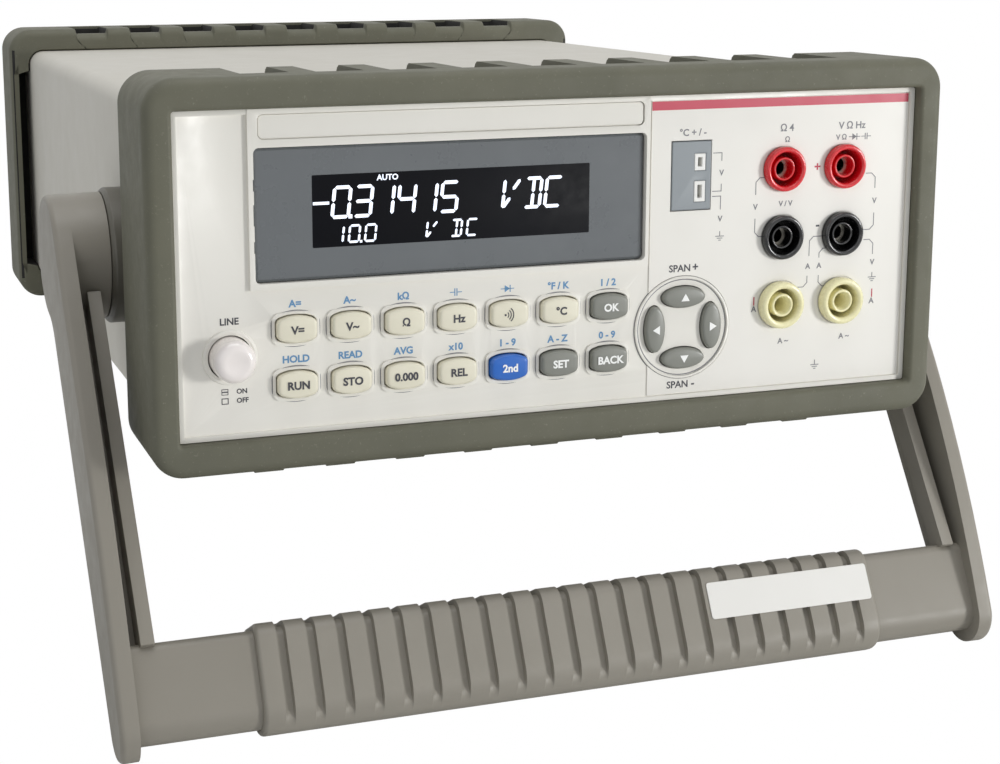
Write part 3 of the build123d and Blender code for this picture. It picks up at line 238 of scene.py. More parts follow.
@dataclass(frozen=True)
class Finish(Coating):
    """A moulded or coated surface: its colour drifts a little, and a fine grain breaks its gloss.

    The grain and the drift are the sizes of their features in millimetres.
    """

    drift_colour: str
    roughness: float = 0.5
    roughness_spread: float = 0.08
    grain: float = 0.35
    grain_depth: float = 0.012
    drift: float = 30.0
    drift_share: float = 0.5
    specular: float = 0.5
    ior: float = 1.5
    metallic: float = 0.0
    coat: float = 0.0
    coat_roughness: float = 0.05

    def colour_socket(self, tree: Tree, coords: Socket) -> Socket:
        """The colour, drifting slowly between the two hex values."""
        clouds = noise(tree, coords, self.drift, 3.0, 0.6)
        share = remap(tree, clouds, (0.35, 0.65), (0.0, self.drift_share))
        return blend(tree, share, linear(self.colour), linear(self.drift_colour))

    def height_socket(self, tree: Tree, coords: Socket) -> Socket:
        """The surface's height, from 0 to 1: an even, cloudy grain."""
        return noise(tree, coords, self.grain, 2.0)

    def shader(self, tree: Tree, coords: Socket) -> Socket:
        """The colour, a bump from the height, and a roughness that varies as handling leaves it."""
        bump = add_node(tree, "Bump", {
            "Height": self.height_socket(tree, coords), "Strength": 0.6, "Distance": self.grain_depth * MM})
        smear = noise(tree, coords, self.drift / 6, 4.0, 0.65)
        low, high = self.roughness - self.roughness_spread, self.roughness + self.roughness_spread
        return add_node(tree, "BsdfPrincipled", {
            "Base Color": self.colour_socket(tree, coords),
            "Roughness": remap(tree, smear, (0.3, 0.7), (low, high)),
            "Normal": bump.outputs["Normal"],
            "Metallic": self.metallic,
            "IOR": self.ior,
            "Specular IOR Level": self.specular,
            "Coat Weight": self.coat,
            "Coat Roughness": self.coat_roughness}).outputs["BSDF"]


@dataclass(frozen=True)
class SpeckledRubber(Finish):
    """Moulded rubber that has been handled: dull, with pale dust specks and scuffs."""

    speck: float = 0.9
    speck_colour: str = "A39E90"
    speck_share: float = 0.35

    def colour_socket(self, tree: Tree, coords: Socket) -> Socket:
        """The drifting colour with small pale specks where a fine noise peaks."""
        dust = remap(tree, noise(tree, coords, self.speck, 3.0, 0.7), (0.62, 0.78), (0.0, self.speck_share))
        return blend(tree, dust, super().colour_socket(tree, coords), linear(self.speck_colour))


@dataclass(frozen=True)
class TexturedPaint(Finish):
    """Sprayed textured paint: rounded droplets close together, each a fraction of a millimetre."""

    def height_socket(self, tree: Tree, coords: Socket) -> Socket:
        """Droplets from smooth cells, softened by noise."""
        cells = add_node(tree, "TexVoronoi", {
            "Vector": coords, "Scale": per_mm(self.grain * 2), "Smoothness": 0.8}, feature="SMOOTH_F1")
        fine = super().height_socket(tree, coords)
        return add_node(tree, "Math", {0: cells.outputs["Distance"], 1: fine}).outputs["Value"]


@dataclass(frozen=True)
class BrushedMetal(Finish):
    """Drawn or brushed metal: its grain is many times longer than it is wide."""

    stretch: float = 30.0

    def height_socket(self, tree: Tree, coords: Socket) -> Socket:
        """Fine lines along x."""
        drawn = add_node(tree, "Mapping", {"Vector": coords, "Scale": (1.0 / self.stretch, 1.0, 1.0)})
        return noise(tree, drawn.outputs["Vector"], self.grain, 2.0)


@dataclass(frozen=True)
class LitSegment(Coating):
    """A lit display segment: it gives off its own cool white light."""

    strength: float

    def shader(self, tree: Tree, coords: Socket) -> Socket:
        """A dark glass bar that shines, a little whiter in places."""
        tint = blend(tree, noise(tree, coords, 1.5, 1.0), linear(self.colour), linear("FFFFFF"))
        return add_node(tree, "BsdfPrincipled", {
            "Base Color": linear("10131C"),
            "Roughness": 0.3,
            "Emission Color": tint,
            "Emission Strength": self.strength}).outputs["BSDF"]


# what the finishes of one kind have in common
ink = partial(Finish, roughness=0.5, grain=0.15, grain_depth=0.002)
key_plastic = partial(Finish, roughness=0.38, grain=0.25, grain_depth=0.005, drift=12.0)
jack_nylon = partial(Finish, grain=0.4, grain_depth=0.004, coat=0.4, drift=6.0)


class Finishes:
    """The instrument's finishes. Each is named for what the real surface is."""

    # styrene-butadiene rubber moulding, matte: dust sits in its grain
    bumper = SpeckledRubber("moulded_rubber_olive_grey", "656455", "5A5A4D", roughness=0.62,
                            grain=0.5, grain_depth=0.02, specular=0.35)
    # painted shade: the bumper rubber made near black for the walls inside the rear pockets and the hollows
    pocket_painted_shade = Finish("moulded_rubber_in_deep_recess", "1B1A17", "151411", roughness=0.85, grain=0.5)
    # ABS moulding with a spark-eroded grain: a soft, wide highlight
    handle = Finish("moulded_abs_taupe", "8B867B", "837E73", roughness=0.48, grain=0.4,
                    grain_depth=0.012, drift=45.0)
    # thermoplastic elastomer over-moulding: a little duller and lighter than the arms
    grip = SpeckledRubber("moulded_elastomer_taupe", "8E897E", "868176", roughness=0.5,
                          grain=0.4, grain_depth=0.012, speck_share=0.15)
    # vinyl label with a paper face under a thin varnish
    label = Finish("paper_faced_vinyl_label", "E9E7E1", "E3E1DA", roughness=0.38, grain=0.2,
                   grain_depth=0.004, coat=0.3, coat_roughness=0.15)
    # textured paint sprayed on sheet steel
    case = TexturedPaint("sprayed_textured_paint_warm_grey", "CFCBC0", "C8C4B8", roughness=0.55,
                         grain=0.35, grain_depth=0.03, drift=60.0)
    # nylon bearing bosses
    boss = Finish("moulded_nylon_dark_grey", "5C594F", "54524A", roughness=0.45, grain=0.3)
    # ABS panel with a fine satin texture
    panel = Finish("moulded_abs_off_white", "E6E3DA", "E1DED4", roughness=0.42, grain=0.3,
                   grain_depth=0.006, drift=50.0)
    # back-printed polycarbonate film with a light gloss
    overlay = Finish("printed_polycarbonate_film", "E8E5DD", "E4E1D8", roughness=0.36, grain=0.15,
                     grain_depth=0.003, drift=60.0, coat=0.15, coat_roughness=0.2)
    # red ink on that film
    stripe = Finish("screen_printed_red_ink", "C4475A", "BC4052", roughness=0.4, grain=0.15,
                    grain_depth=0.003)
    # smoked acrylic window with a hard glossy face
    mask = Finish("acrylic_window_smoked_grey", "565B5E", "505558", roughness=0.3, grain=0.2,
                  grain_depth=0.001, coat=1.0, coat_roughness=0.06, drift=80.0)
    # the unlit ground of the display behind the window
    glass = Finish("display_glass_black", "030408", "04050E", roughness=0.5, specular=0.12, grain=0.2,
                   grain_depth=0.0005)
    # phosphor of the lit bars
    segment = LitSegment("lit_segment_cool_white", "CFE0FF", 1.6)
    # glass-filled polyester of the inlet and the display's housing
    black_plastic = Finish("moulded_pbt_black", "17181A", "1E1F21", roughness=0.4, grain=0.3)
    # epoxy board under its green lacquer
    board = Finish("solder_masked_fibreglass", "2B5A38", "245031", roughness=0.3, grain=0.8,
                   grain_depth=0.01, coat=0.4)
    # silicone mat under the keys
    mat = Finish("moulded_silicone_grey", "3A3B3D", "333436", roughness=0.6)
    # ABS keys, satin
    key_cream = key_plastic("moulded_abs_cream", "E4DFCA", "DDD8C2")
    key_grey = key_plastic("moulded_abs_grey", "83847C", "7B7C74")
    key_blue = key_plastic("moulded_abs_blue", "1F66C0", "1B5DB2", roughness=0.34, coat=0.2)
    # polished ABS of the power button
    knob = Finish("polished_abs_white", "F0E9E4", "EAE2DC", roughness=0.2, grain=0.4,
                  grain_depth=0.002, coat=0.5, drift=10.0)
    # glossy nylon sockets
    jack_red = jack_nylon("moulded_nylon_red", "D6121F", "C80F1B", roughness=0.24)
    jack_black = jack_nylon("moulded_nylon_black", "0E0E0F", "151516", roughness=0.22)
    jack_cream = jack_nylon("moulded_nylon_cream", "EDE7B8", "E5DEA9", roughness=0.28, coat=0.3)
    # nickel on turned brass
    nickel = BrushedMetal("nickel_plated_brass", "C3BFB4", "A8A397", roughness=0.24, metallic=1.0,
                          grain=0.12, grain_depth=0.004, stretch=8.0)
    # polyester of the thermocouple socket and of its contacts' frames
    thermo = Finish("moulded_pbt_cool_grey", "8C9295", "858B8E", roughness=0.45, grain=0.3)
    thermo_white = Finish("moulded_pbt_white", "ECEBE6", "E3E2DC", roughness=0.4, grain=0.3)
    # glazed tubes of the fuses
    ceramic = Finish("glazed_ceramic_tube", "EDEBE4", "E2DFD6", roughness=0.25, coat=0.4)
    # paint on the rear panel's sheet
    rear = TexturedPaint("sprayed_paint_light_grey", "BDBAB0", "B5B2A8", roughness=0.5, grain=0.3,
                         grain_depth=0.02)
    # zinc on rolled sheet steel, and on turned screws
    tinplate = BrushedMetal("zinc_plated_sheet_steel", "A9ACAE", "989C9F", roughness=0.38,
                            metallic=1.0, grain=0.25, grain_depth=0.008)
    screw = BrushedMetal("zinc_plated_screw_steel", "B9BBBD", "A3A6A8", roughness=0.32, metallic=1.0,
                         grain=0.1, grain_depth=0.006, stretch=4.0)
    # varnished core and windings of the transformer
    core = Finish("varnished_laminations", "4E5053", "5B4634", roughness=0.5, grain=0.4, coat=0.3)
    # screen-printing inks
    ink_dark = ink("screen_printed_ink_charcoal", "3B3B41", "44444A")
    ink_blue = ink("screen_printed_ink_blue", "5C8CB4", "6795BC")
    ink_red = ink("screen_printed_ink_red", "B5384B", "BF4457")
    ink_white = ink("screen_printed_ink_white", "F4F4F0", "ECECE8")
    # the grey ink also paints the shade lines at the feet of the key rims and of the arrow ring
    grey_ink_and_crease_shade = ink("screen_printed_ink_grey", "77777A", "808083")


SLOT_FINISHES: dict[str, Finish] = {
    "bumper_rubber": Finishes.bumper,
    "handle_plastic": Finishes.handle,
    "grip_rubber": Finishes.grip,
    "label_film": Finishes.label,
    "case_paint": Finishes.case,
    "boss_plastic": Finishes.boss,
    "panel_plastic": Finishes.panel,
    "overlay_film": Finishes.overlay,
    "lens_acrylic": Finishes.mask,
    "module_black": Finishes.black_plastic,
    "board_green": Finishes.board,
    "mat_rubber": Finishes.mat,
    "key_cream": Finishes.key_cream,
    "key_grey": Finishes.key_grey,
    "key_blue": Finishes.key_blue,
    "knob_white": Finishes.knob,
    "jack_red": Finishes.jack_red,
    "jack_black": Finishes.jack_black,
    "jack_cream": Finishes.jack_cream,
    "contact_nickel": Finishes.nickel,
    "thermo_grey": Finishes.thermo,
    "thermo_white": Finishes.thermo_white,
    "fuse_ceramic": Finishes.ceramic,
    "inlet_black": Finishes.black_plastic,
    "rear_paint": Finishes.rear,
    "tray_steel": Finishes.tinplate,
    "screw_steel": Finishes.screw,
    "core_iron": Finishes.core,
}


# ------------------------------------------------------------------------------------ mesh making
def smooth_step(share: np.ndarray) -> np.ndarray:
    """Goes from 0 to 1 with no slope at either end: 3s² - 2s³ of the share, clipped to 0..1."""
    share = np.clip(share, 0.0, 1.0)
    return share * share * (3.0 - 2.0 * share)


def plateau(values: np.ndarray, half_foot: float, half_top: float) -> np.ndarray:
    """1 within half_top of zero, 0 beyond half_foot, and a smooth step between them."""
    return smooth_step((half_foot - np.abs(values)) / (half_foot - half_top))


def grid_quads(rows: int, columns: int, wrap_rows: bool, wrap_columns: bool) -> np.ndarray:
    """The quads of a grid of points numbered row by row.

    Args:
        rows: number of rows.
        columns: number of points in a row.
        wrap_rows: the last row joins the first.
        wrap_columns: the last column joins the first.

    Returns:
        An array of four point numbers for each quad.
    """
    row = np.arange(rows if wrap_rows else rows - 1)[:, None]
    column = np.arange(columns if wrap_columns else columns - 1)[None, :]
    next_row = (row + 1) % rows
    next_column = (column + 1) % columns
    corners = (
        row * columns + column,
        row * columns + next_column,
        next_row * columns + next_column,
        next_row * columns + column,
    )
    return np.stack(np.broadcast_arrays(*corners), axis=-1).reshape(-1, 4)


def linked(name: str, data: bpy.types.ID) -> bpy.types.Object:
    """Makes an object of a mesh, lamp or camera, and links it to the scene."""
    made = bpy.data.objects.new(name, data)
    bpy.context.scene.collection.objects.link(made)
    return made


def smooth_shaded(mesh: bpy.types.Mesh, sharp_angle: float, coating: Coating) -> bpy.types.Mesh:
    """Shades a mesh smooth but for edges that turn by more than so many degrees, and coats it."""
    mesh.polygons.foreach_set("use_smooth", np.ones(len(mesh.polygons), bool))
    mesh.set_sharp_from_angle(angle=math.radians(sharp_angle))
    mesh.materials.append(coating.material())
    return mesh


def mesh_object(
    name: str,
    points: np.ndarray,
    faces: list,
    finish: Coating,
    sharp_angle: float = 35.0,
) -> bpy.types.Object:
    """Makes a mesh object at the origin from level points.

    Args:
        name: the piece's name.
        points: level millimetres, one row for each point.
        faces: point numbers for each face.
        finish: its finish.
        sharp_angle: edges that turn by more than this many degrees stay sharp.

    Returns:
        The object.
    """
    mesh = bpy.data.meshes.new(name)
    mesh.from_pydata(STANCE.place(points).tolist(), [], [list(face) for face in faces])
    shell = bmesh.new()
    shell.from_mesh(mesh)
    bmesh.ops.remove_doubles(shell, verts=shell.verts, dist=1e-7)
    bmesh.ops.recalc_face_normals(shell, faces=shell.faces)
    shell.to_mesh(mesh)
    shell.free()
    return linked(name, smooth_shaded(mesh, sharp_angle, finish))


def lofted(
    name: str,
    loops: np.ndarray,
    finish: Finish,
    ring: bool = False,
    sharp_angle: float = 35.0,
) -> bpy.types.Object:
    """A closed skin through a stack of loops with equal numbers of points.

    Args:
        name: the piece's name.
        loops: level points, as (loops, points in a loop, 3).
        finish: its finish.
        ring: the last loop joins the first. Otherwise both ends are closed by a face.
        sharp_angle: edges that turn by more than this many degrees stay sharp.

    Returns:
        The object.
    """
    count, around = loops.shape[:2]
    faces = grid_quads(count, around, ring, True).tolist()
    if not ring:
        faces.append(list(range(around)))
        faces.append(list(range((count - 1) * around, count * around))[::-1])
    return mesh_object(name, loops.reshape(-1, 3), faces, finish, sharp_angle)


def turned(
    name: str,
    profile: np.ndarray,
    centre: Point,
    finish: Finish,
    around: int = 64,
    ring: bool = True,
    sharp_angle: float = 40.0,
) -> bpy.types.Object:
    """A shape turned about an axis that runs from the user into the panel.

    Args:
        name: the piece's name.
        profile: rows of radius and depth.
        centre: the axis's x and z.
        finish: its finish.
        around: points in a circle.
        ring: the profile is closed and stays off the axis.
        sharp_angle: edges that turn by more than this many degrees stay sharp.

    Returns:
        The object.
    """
    angle = np.linspace(0.0, 2 * np.pi, around, endpoint=False)
    radius = profile[:, 0][:, None]
    depth = np.broadcast_to(profile[:, 1][:, None], (len(profile), around))
    loops = np.stack(
        (centre[0] + radius * np.cos(angle), depth, centre[1] + radius * np.sin(angle)), axis=-1)
    return lofted(name, loops, finish, ring, sharp_angle)


def arc(centre: Point, radius: float, start: float, end: float, steps: int = 6) -> np.ndarray:
    """Points on an arc in a plane, with angles in degrees."""
    angle = np.radians(np.linspace(start, end, steps + 1))
    return np.column_stack((centre[0] + radius * np.cos(angle), centre[1] + radius * np.sin(angle)))


AXIS = 0.03   # the radius of the small face that closes a turned shape at its axis
PANEL_DEPTH = 0.6   # how far the trims' back edges are sunk in the panel
HALF_TURN = arc((0.0, 0.0), 1.0, 0, 180, 8)   # the crest of a rounded bar


def eased(node: str, width: float = 0.3, segments: int = 2, angle: float = 32.0) -> None:
    """Makes a copy of a CAD piece, with its triangles joined and its sharp edges eased, to stand for it.

    Args:
        node: the CAD node.
        width: how far the easing reaches, in millimetres.
        segments: its number of steps.
        angle: edges that turn by more than this many degrees are eased.
    """
    source = frame["nodes"][node]
    shell = bmesh.new()
    shell.from_mesh(source.data)
    bmesh.ops.remove_doubles(shell, verts=shell.verts, dist=2e-6)
    bmesh.ops.dissolve_limit(shell, angle_limit=math.radians(0.6), verts=shell.verts, edges=shell.edges)
    mesh = bpy.data.meshes.new(node + "_eased")
    shell.to_mesh(mesh)
    shell.free()
    piece = linked(node + "_eased", smooth_shaded(mesh, angle, SLOT_FINISHES[slot_of(node)]))
    bevel = piece.modifiers.new("eased", "BEVEL")
    bevel.width = width * MM
    bevel.segments = segments
    bevel.limit_method = "ANGLE"
    bevel.angle_limit = math.radians(angle)
    bevel.harden_normals = True
    bevel.use_clamp_overlap = True
    settle(piece, source["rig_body"], slot_of(node), node)


def slot_of(node: str) -> str:
    """The record's material slot of a CAD node."""
    return next(part["material_slot"] for part in frame["record"]["subparts"] if part["node"] == node)


def settle(piece: bpy.types.Object, body: str, slot: str, *nodes: str) -> None:
    """Lets a finished piece ride on its body, hides the nodes it stands for, and reports it.

    Args:
        piece: the object.
        body: the CAD body that carries it.
        slot: not used.
        *nodes: the CAD nodes that it stands for.
    """
    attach(piece, body)
    if nodes:
        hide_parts(*nodes)
    LOG.info("%s rides on %s", piece.name, body)


# ---------------------------------------------------------------------------------------- outlines
@dataclass(frozen=True)
class Outline:
    """A closed plane curve: a base curve, and a distance from it along its normals."""

    base: np.ndarray
    normals: np.ndarray
    radius: float

    def at(self, margin: float = 0.0, shrink: float = 1.0) -> np.ndarray:
        """The curve grown by a margin, then scaled about its centre.

        Args:
            margin: how far outside the nominal curve it runs.
            shrink: the scale.

        Returns:
            Its points: (base + (radius + margin) * normals) * shrink.
        """
        return (self.base + (self.radius + margin) * self.normals) * shrink

    @classmethod
    def barrel(cls, width: float, height: float, arch: float, corner: float, steps: int = 7) -> "Outline":
        """Straight sides and a bulging top and bottom, with round corners.

        The top's base curve is z = top - arch * (x / half width)^2. A corner's normals turn from the
        top's last normal to the side's.
        """
        half_width = width / 2 - corner
        top = height / 2 - corner
        x = np.linspace(-half_width, half_width, 2 * steps + 1)
        crown = np.column_stack((x, top - arch * (x / half_width) ** 2))
        slope = np.arctan2(1.0, 2 * arch * x / half_width ** 2)
        lean = np.linspace(slope[-1], 0.0, steps + 1)[1:]
        corner_base = np.repeat(crown[-1:], steps, axis=0)
        left_base = np.repeat([[-half_width, crown[0, 1]]], steps, axis=0)
        left_angle = np.linspace(np.pi, slope[0], steps + 1)[:-1]
        upper_base = np.vstack((left_base, crown, corner_base))
        upper_angle = np.concatenate((left_angle, slope, lean))
        upper_normals = np.column_stack((np.cos(upper_angle), np.sin(upper_angle)))
        base = np.vstack((upper_base, -upper_base))
        normals = np.vstack((upper_normals, -upper_normals))
        return cls(base, normals, corner)

    @classmethod
    def ellipse(cls, width: float, height: float, steps: int = 72, turn: float = 0.0) -> "Outline":
        """An ellipse, turned by an angle in degrees, with its normals."""
        angle = np.linspace(0.0, 2 * np.pi, steps, endpoint=False)
        curve = np.column_stack((width / 2 * np.cos(angle), height / 2 * np.sin(angle)))
        normals = np.column_stack((np.cos(angle) / width, np.sin(angle) / height))
        normals /= np.linalg.norm(normals, axis=1)[:, None]
        lean = math.radians(turn)
        rotate = np.array(((math.cos(lean), math.sin(lean)), (-math.sin(lean), math.cos(lean))))
        return cls(curve @ rotate, normals @ rotate, 0.0)

    @classmethod
    def rectangle(cls, width: float, height: float, corner: float, steps: int = 6) -> "Outline":
        """A rectangle with round corners."""
        inner = (width / 2 - corner, height / 2 - corner)
        signs = np.array(((1, 1), (-1, 1), (-1, -1), (1, -1)))
        base = np.repeat(signs * inner, steps + 1, axis=0)
        angle = np.radians(np.concatenate([np.linspace(q, q + 90, steps + 1) for q in (0, 90, 180, 270)]))
        return cls(base, np.column_stack((np.cos(angle), np.sin(angle))), corner)


def stacked(
    name: str,
    outline: Outline,
    centre: Point,
    steps: list[tuple[float, ...]],
    finish: Finish,
    ring: bool = False,
    sharp_angle: float = 35.0,
) -> bpy.types.Object:
    """A skin through copies of one outline, each with its margin, depth and scale.

    Args:
        name: the piece's name.
        outline: the outline.
        centre: its middle's x and z.
        steps: margin, y and, where it isn't 1, the scale of each copy.
        finish: its finish.
        ring: the last copy joins the first.
        sharp_angle: edges that turn by more than this many degrees stay sharp.

    Returns:
        The object.
    """
    loops = []
    for margin, depth, *shrink in steps:
        flat = outline.at(margin, *shrink) + centre
        loops.append(np.column_stack((flat[:, 0], np.full(len(flat), depth), flat[:, 1])))
    return lofted(name, np.array(loops), finish, ring, sharp_angle)


# ---------------------------------------------------------------------------------------- bumpers
class Surface(Enum):
    """Which surface of a bumper a loop lies on."""

    OUTSIDE = "outside"
    OPENING = "opening"
    POCKET = "pocket"


Row = tuple[float, float, float, float, Surface]


@dataclass
class Bumper:
    """One of the two rubber frames that the case is pushed into."""

    node: str
    half_width: float
    half_height: float
    corner: float = 8.5
    edge_round: float = 3.0
    pocket_half_width: float = 107.7
    pocket_half_height: float = 43.7
    pocket_corner: float = 5.2
    foot_pitch: float = 19.8
    foot_height: float = 4.8
    foot_half: float = 6.25
    foot_slope: float = 2.34
    foot_marks: tuple[float, ...] = (3.6, 3.91, 4.2, 5.1, 6.0, 6.25, 6.5)
    count: int = 9
    corner_steps: int = 14
    edge_steps: int = 8
    sharp_angle: float = 50.0

    def build(self) -> bpy.types.Object:
        """Makes the frame."""
        raise NotImplementedError

    def dress(self) -> None:
        """Puts the frame on the instrument."""
        settle(self.build(), "instrument", "bumper_rubber", self.node)

    def middles(self, pitch: float) -> np.ndarray:
        """The places along x of nine equal things."""
        return (np.arange(self.count) - (self.count - 1) / 2) * pitch

    def off_middle(self, x: np.ndarray, pitch: float) -> np.ndarray:
        """How far each point is from the nearest of the nine middles."""
        middles = self.middles(pitch)
        return x - middles[np.abs(x[:, None] - middles).argmin(axis=1)]

    def foot(self, points: np.ndarray, start: float, end: float) -> np.ndarray:
        """How far each point of the underside goes down for a foot between two y.

        A foot is a block with slanted sides: its height times the least of the ramps up its four
        sides, with the ramps' ends smoothed.
        """
        x, y, z = points[:, 0], points[:, 1], points[:, 2]
        across = (self.foot_half - np.abs(self.off_middle(x, self.foot_pitch))) / self.foot_slope
        along = np.minimum(y - start, end - y) / self.foot_slope
        ramp = np.clip(np.minimum(across, along), 0.0, 1.0)
        ramp = 0.8 * ramp + 0.2 * smooth_step(ramp)
        below = (z < -self.half_height + 0.01) & (np.abs(x) < self.half_width - self.corner + 0.01)
        return np.where(below, self.foot_height * ramp, 0.0)

    def stations(self, pitch: float, offsets: Place) -> np.ndarray:
        """Where a long side has points: at offsets about each middle, and at both ends, in -1..1."""
        reach = self.half_width - self.corner
        about = np.concatenate((-np.array(offsets), (0.0,), offsets))
        marks = np.concatenate(((self.middles(pitch)[:, None] + about).ravel(), (-reach, reach)))
        return np.unique(np.round(np.clip(marks / reach, -1.0, 1.0), 6))

    def edge(
        self,
        sizes: Place,
        radius: float,
        face: float,
        turn: Point,
        steps: int,
        surface: Surface,
    ) -> list[Row]:
        """Loops round one rounded edge of the section.

        Each loop's sizes grow by the radius times the cosine of its angle, less the radius outside or
        plus it round the opening. Its y leaves the face by the radius less its sine.

        Args:
            sizes: half width, half height and corner where the rounding meets the wall.
            radius: the edge's radius.
            face: y of the front or rear face.
            turn: the first and last angle.
            steps: the number of steps.
            surface: what the loops belong to.

        Returns:
            The loops' rows.
        """
        outward = -1 if surface is Surface.OUTSIDE else 1
        inward = 1 if face == self.front else -1
        return [
            (*(size + along + outward * radius for size in sizes), face + inward * (radius - up), surface)
            for along, up in arc((0.0, 0.0), radius, *turn, steps)
        ]

    def loop(
        self,
        half_width: float,
        half_height: float,
        corner: float,
        depth: float,
        top: np.ndarray,
        bottom: np.ndarray,
        side: np.ndarray,
    ) -> np.ndarray:
        """A rectangle with round corners, with points where the stations say, clockwise from the top.

        Args:
            half_width: half its width.
            half_height: half its height.
            corner: its corners' radius.
            depth: its y.
            top: stations along the top, from -1 to 1 of its straight part.
            bottom: the same along the bottom.
            side: the same down the sides.

        Returns:
            Points of the loop.
        """
        straight_x = half_width - corner
        straight_z = half_height - corner
        turn = np.radians(np.linspace(90, 0, self.corner_steps + 1))[1:-1]
        arc_x = corner * np.cos(turn)
        arc_z = corner * np.sin(turn)
        rows = (
            (top * straight_x, np.full(len(top), half_height)),
            (straight_x + arc_x, straight_z + arc_z),
            (np.full(len(side), half_width), -side * straight_z),
            (straight_x + arc_x[::-1], -straight_z - arc_z[::-1]),
            (bottom[::-1] * straight_x, np.full(len(bottom), -half_height)),
            (-straight_x - arc_x, -straight_z - arc_z),
            (np.full(len(side), -half_width), side * straight_z),
            (-straight_x - arc_x[::-1], straight_z + arc_z[::-1]),
        )
        x = np.concatenate([row[0] for row in rows])
        z = np.concatenate([row[1] for row in rows])
        return np.column_stack((x, np.full(len(x), depth), z))


@dataclass
class FrontBumper(Bumper):
    """The front frame: a lip round the panel, notches across the top and feet underneath."""

    node: str = "front_bumper"
    half_width: float = 113.25
    half_height: float = 50.6
    front: float = -4.0
    rear: float = 33.0
    opening_half_width: float = 106.0
    opening_half_height: float = 42.2
    opening_corner: float = 0.8
    opening_round: float = 1.2
    opening_rise: float = 0.3
    rear_round: float = 1.6
    notch_pitch: float = 19.9
    notch_half: float = 5.95
    notch_depth: float = 5.0
    notch_start: float = 8.5
    notch_marks: tuple[float, ...] = (3.0, 5.5, 5.75, 5.9, 6.0, 6.1, 6.2, 6.3, 6.45, 7.0)
    foot_start: float = 11.0
    foot_end: float = 29.0

    def rows(self) -> list[Row]:
        """The frame's section: half width, half height, corner, y and surface of each loop.

        It runs out of the opening, over the lip's edge, across the face, round the outer edge, back
        along the outside, and in through the pocket.
        """
        outer = (self.half_width, self.half_height, self.corner)
        opening = (self.opening_half_width, self.opening_half_height, self.opening_corner)
        pocket = (self.pocket_half_width, self.pocket_half_height, self.pocket_corner)
        marks = np.concatenate((
            (0.5, 2.5, 5.0, 7.0), np.linspace(7.9, 9.1, 7), (10.2, 11.0, 11.3, 12.2, 13.1, 13.34, 13.7),
            (17.0, 20.0, 23.0, 26.3, 26.66, 26.9, 27.8, 28.7, 29.0, 30.2)))
        return [
            (*opening, 0.0, Surface.OPENING),
            *self.edge(opening, self.opening_round, self.front, (180, 90), 5, Surface.OPENING),
            *self.edge(outer, self.edge_round, self.front, (90, 0), self.edge_steps, Surface.OUTSIDE),
            *((*outer, depth, Surface.OUTSIDE) for depth in marks),
            *self.edge(outer, self.rear_round, self.rear, (0, 90), 5, Surface.OUTSIDE),
            (*pocket, self.rear, Surface.POCKET),
            (*pocket, 0.0, Surface.POCKET),
        ]

    def carve(self, points: np.ndarray) -> np.ndarray:
        """Cuts the notches into the top and raises the feet.

        A notch goes 5 mm down, times a plateau across it, times a smooth step at its front end. It is
        open to the rear.
        """
        x, y, z = points[:, 0], points[:, 1], points[:, 2]
        across = plateau(self.off_middle(x, self.notch_pitch), self.notch_half + 0.5, self.notch_half - 0.2)
        along = smooth_step((y - self.notch_start + 0.6) / 1.2)
        floor = self.half_height - self.notch_depth * across * along
        inner = (z > self.pocket_half_height) & (np.abs(x) < self.half_width - self.corner)
        carved = points.copy()
        carved[:, 2] = np.where(inner, np.minimum(z, floor), z)
        carved[:, 2] -= self.foot(points, self.foot_start, self.foot_end)
        return carved

    def build(self) -> bpy.types.Object:
        """Makes the frame. The opening sits a little above the frame's middle."""
        top = self.stations(self.notch_pitch, self.notch_marks)
        bottom = self.stations(self.foot_pitch, self.foot_marks)
        side = np.linspace(-1, 1, 9)
        loops = []
        for *sizes, depth, surface in self.rows():
            plain = self.loop(*sizes, depth, top, bottom, side)
            if sizes[0] < self.pocket_half_width:
                plain[:, 2] += self.opening_rise
            loops.append(self.carve(plain) if surface is Surface.OUTSIDE else plain)
        return lofted("front_bumper_skin", np.array(loops), Finishes.bumper, True, self.sharp_angle)


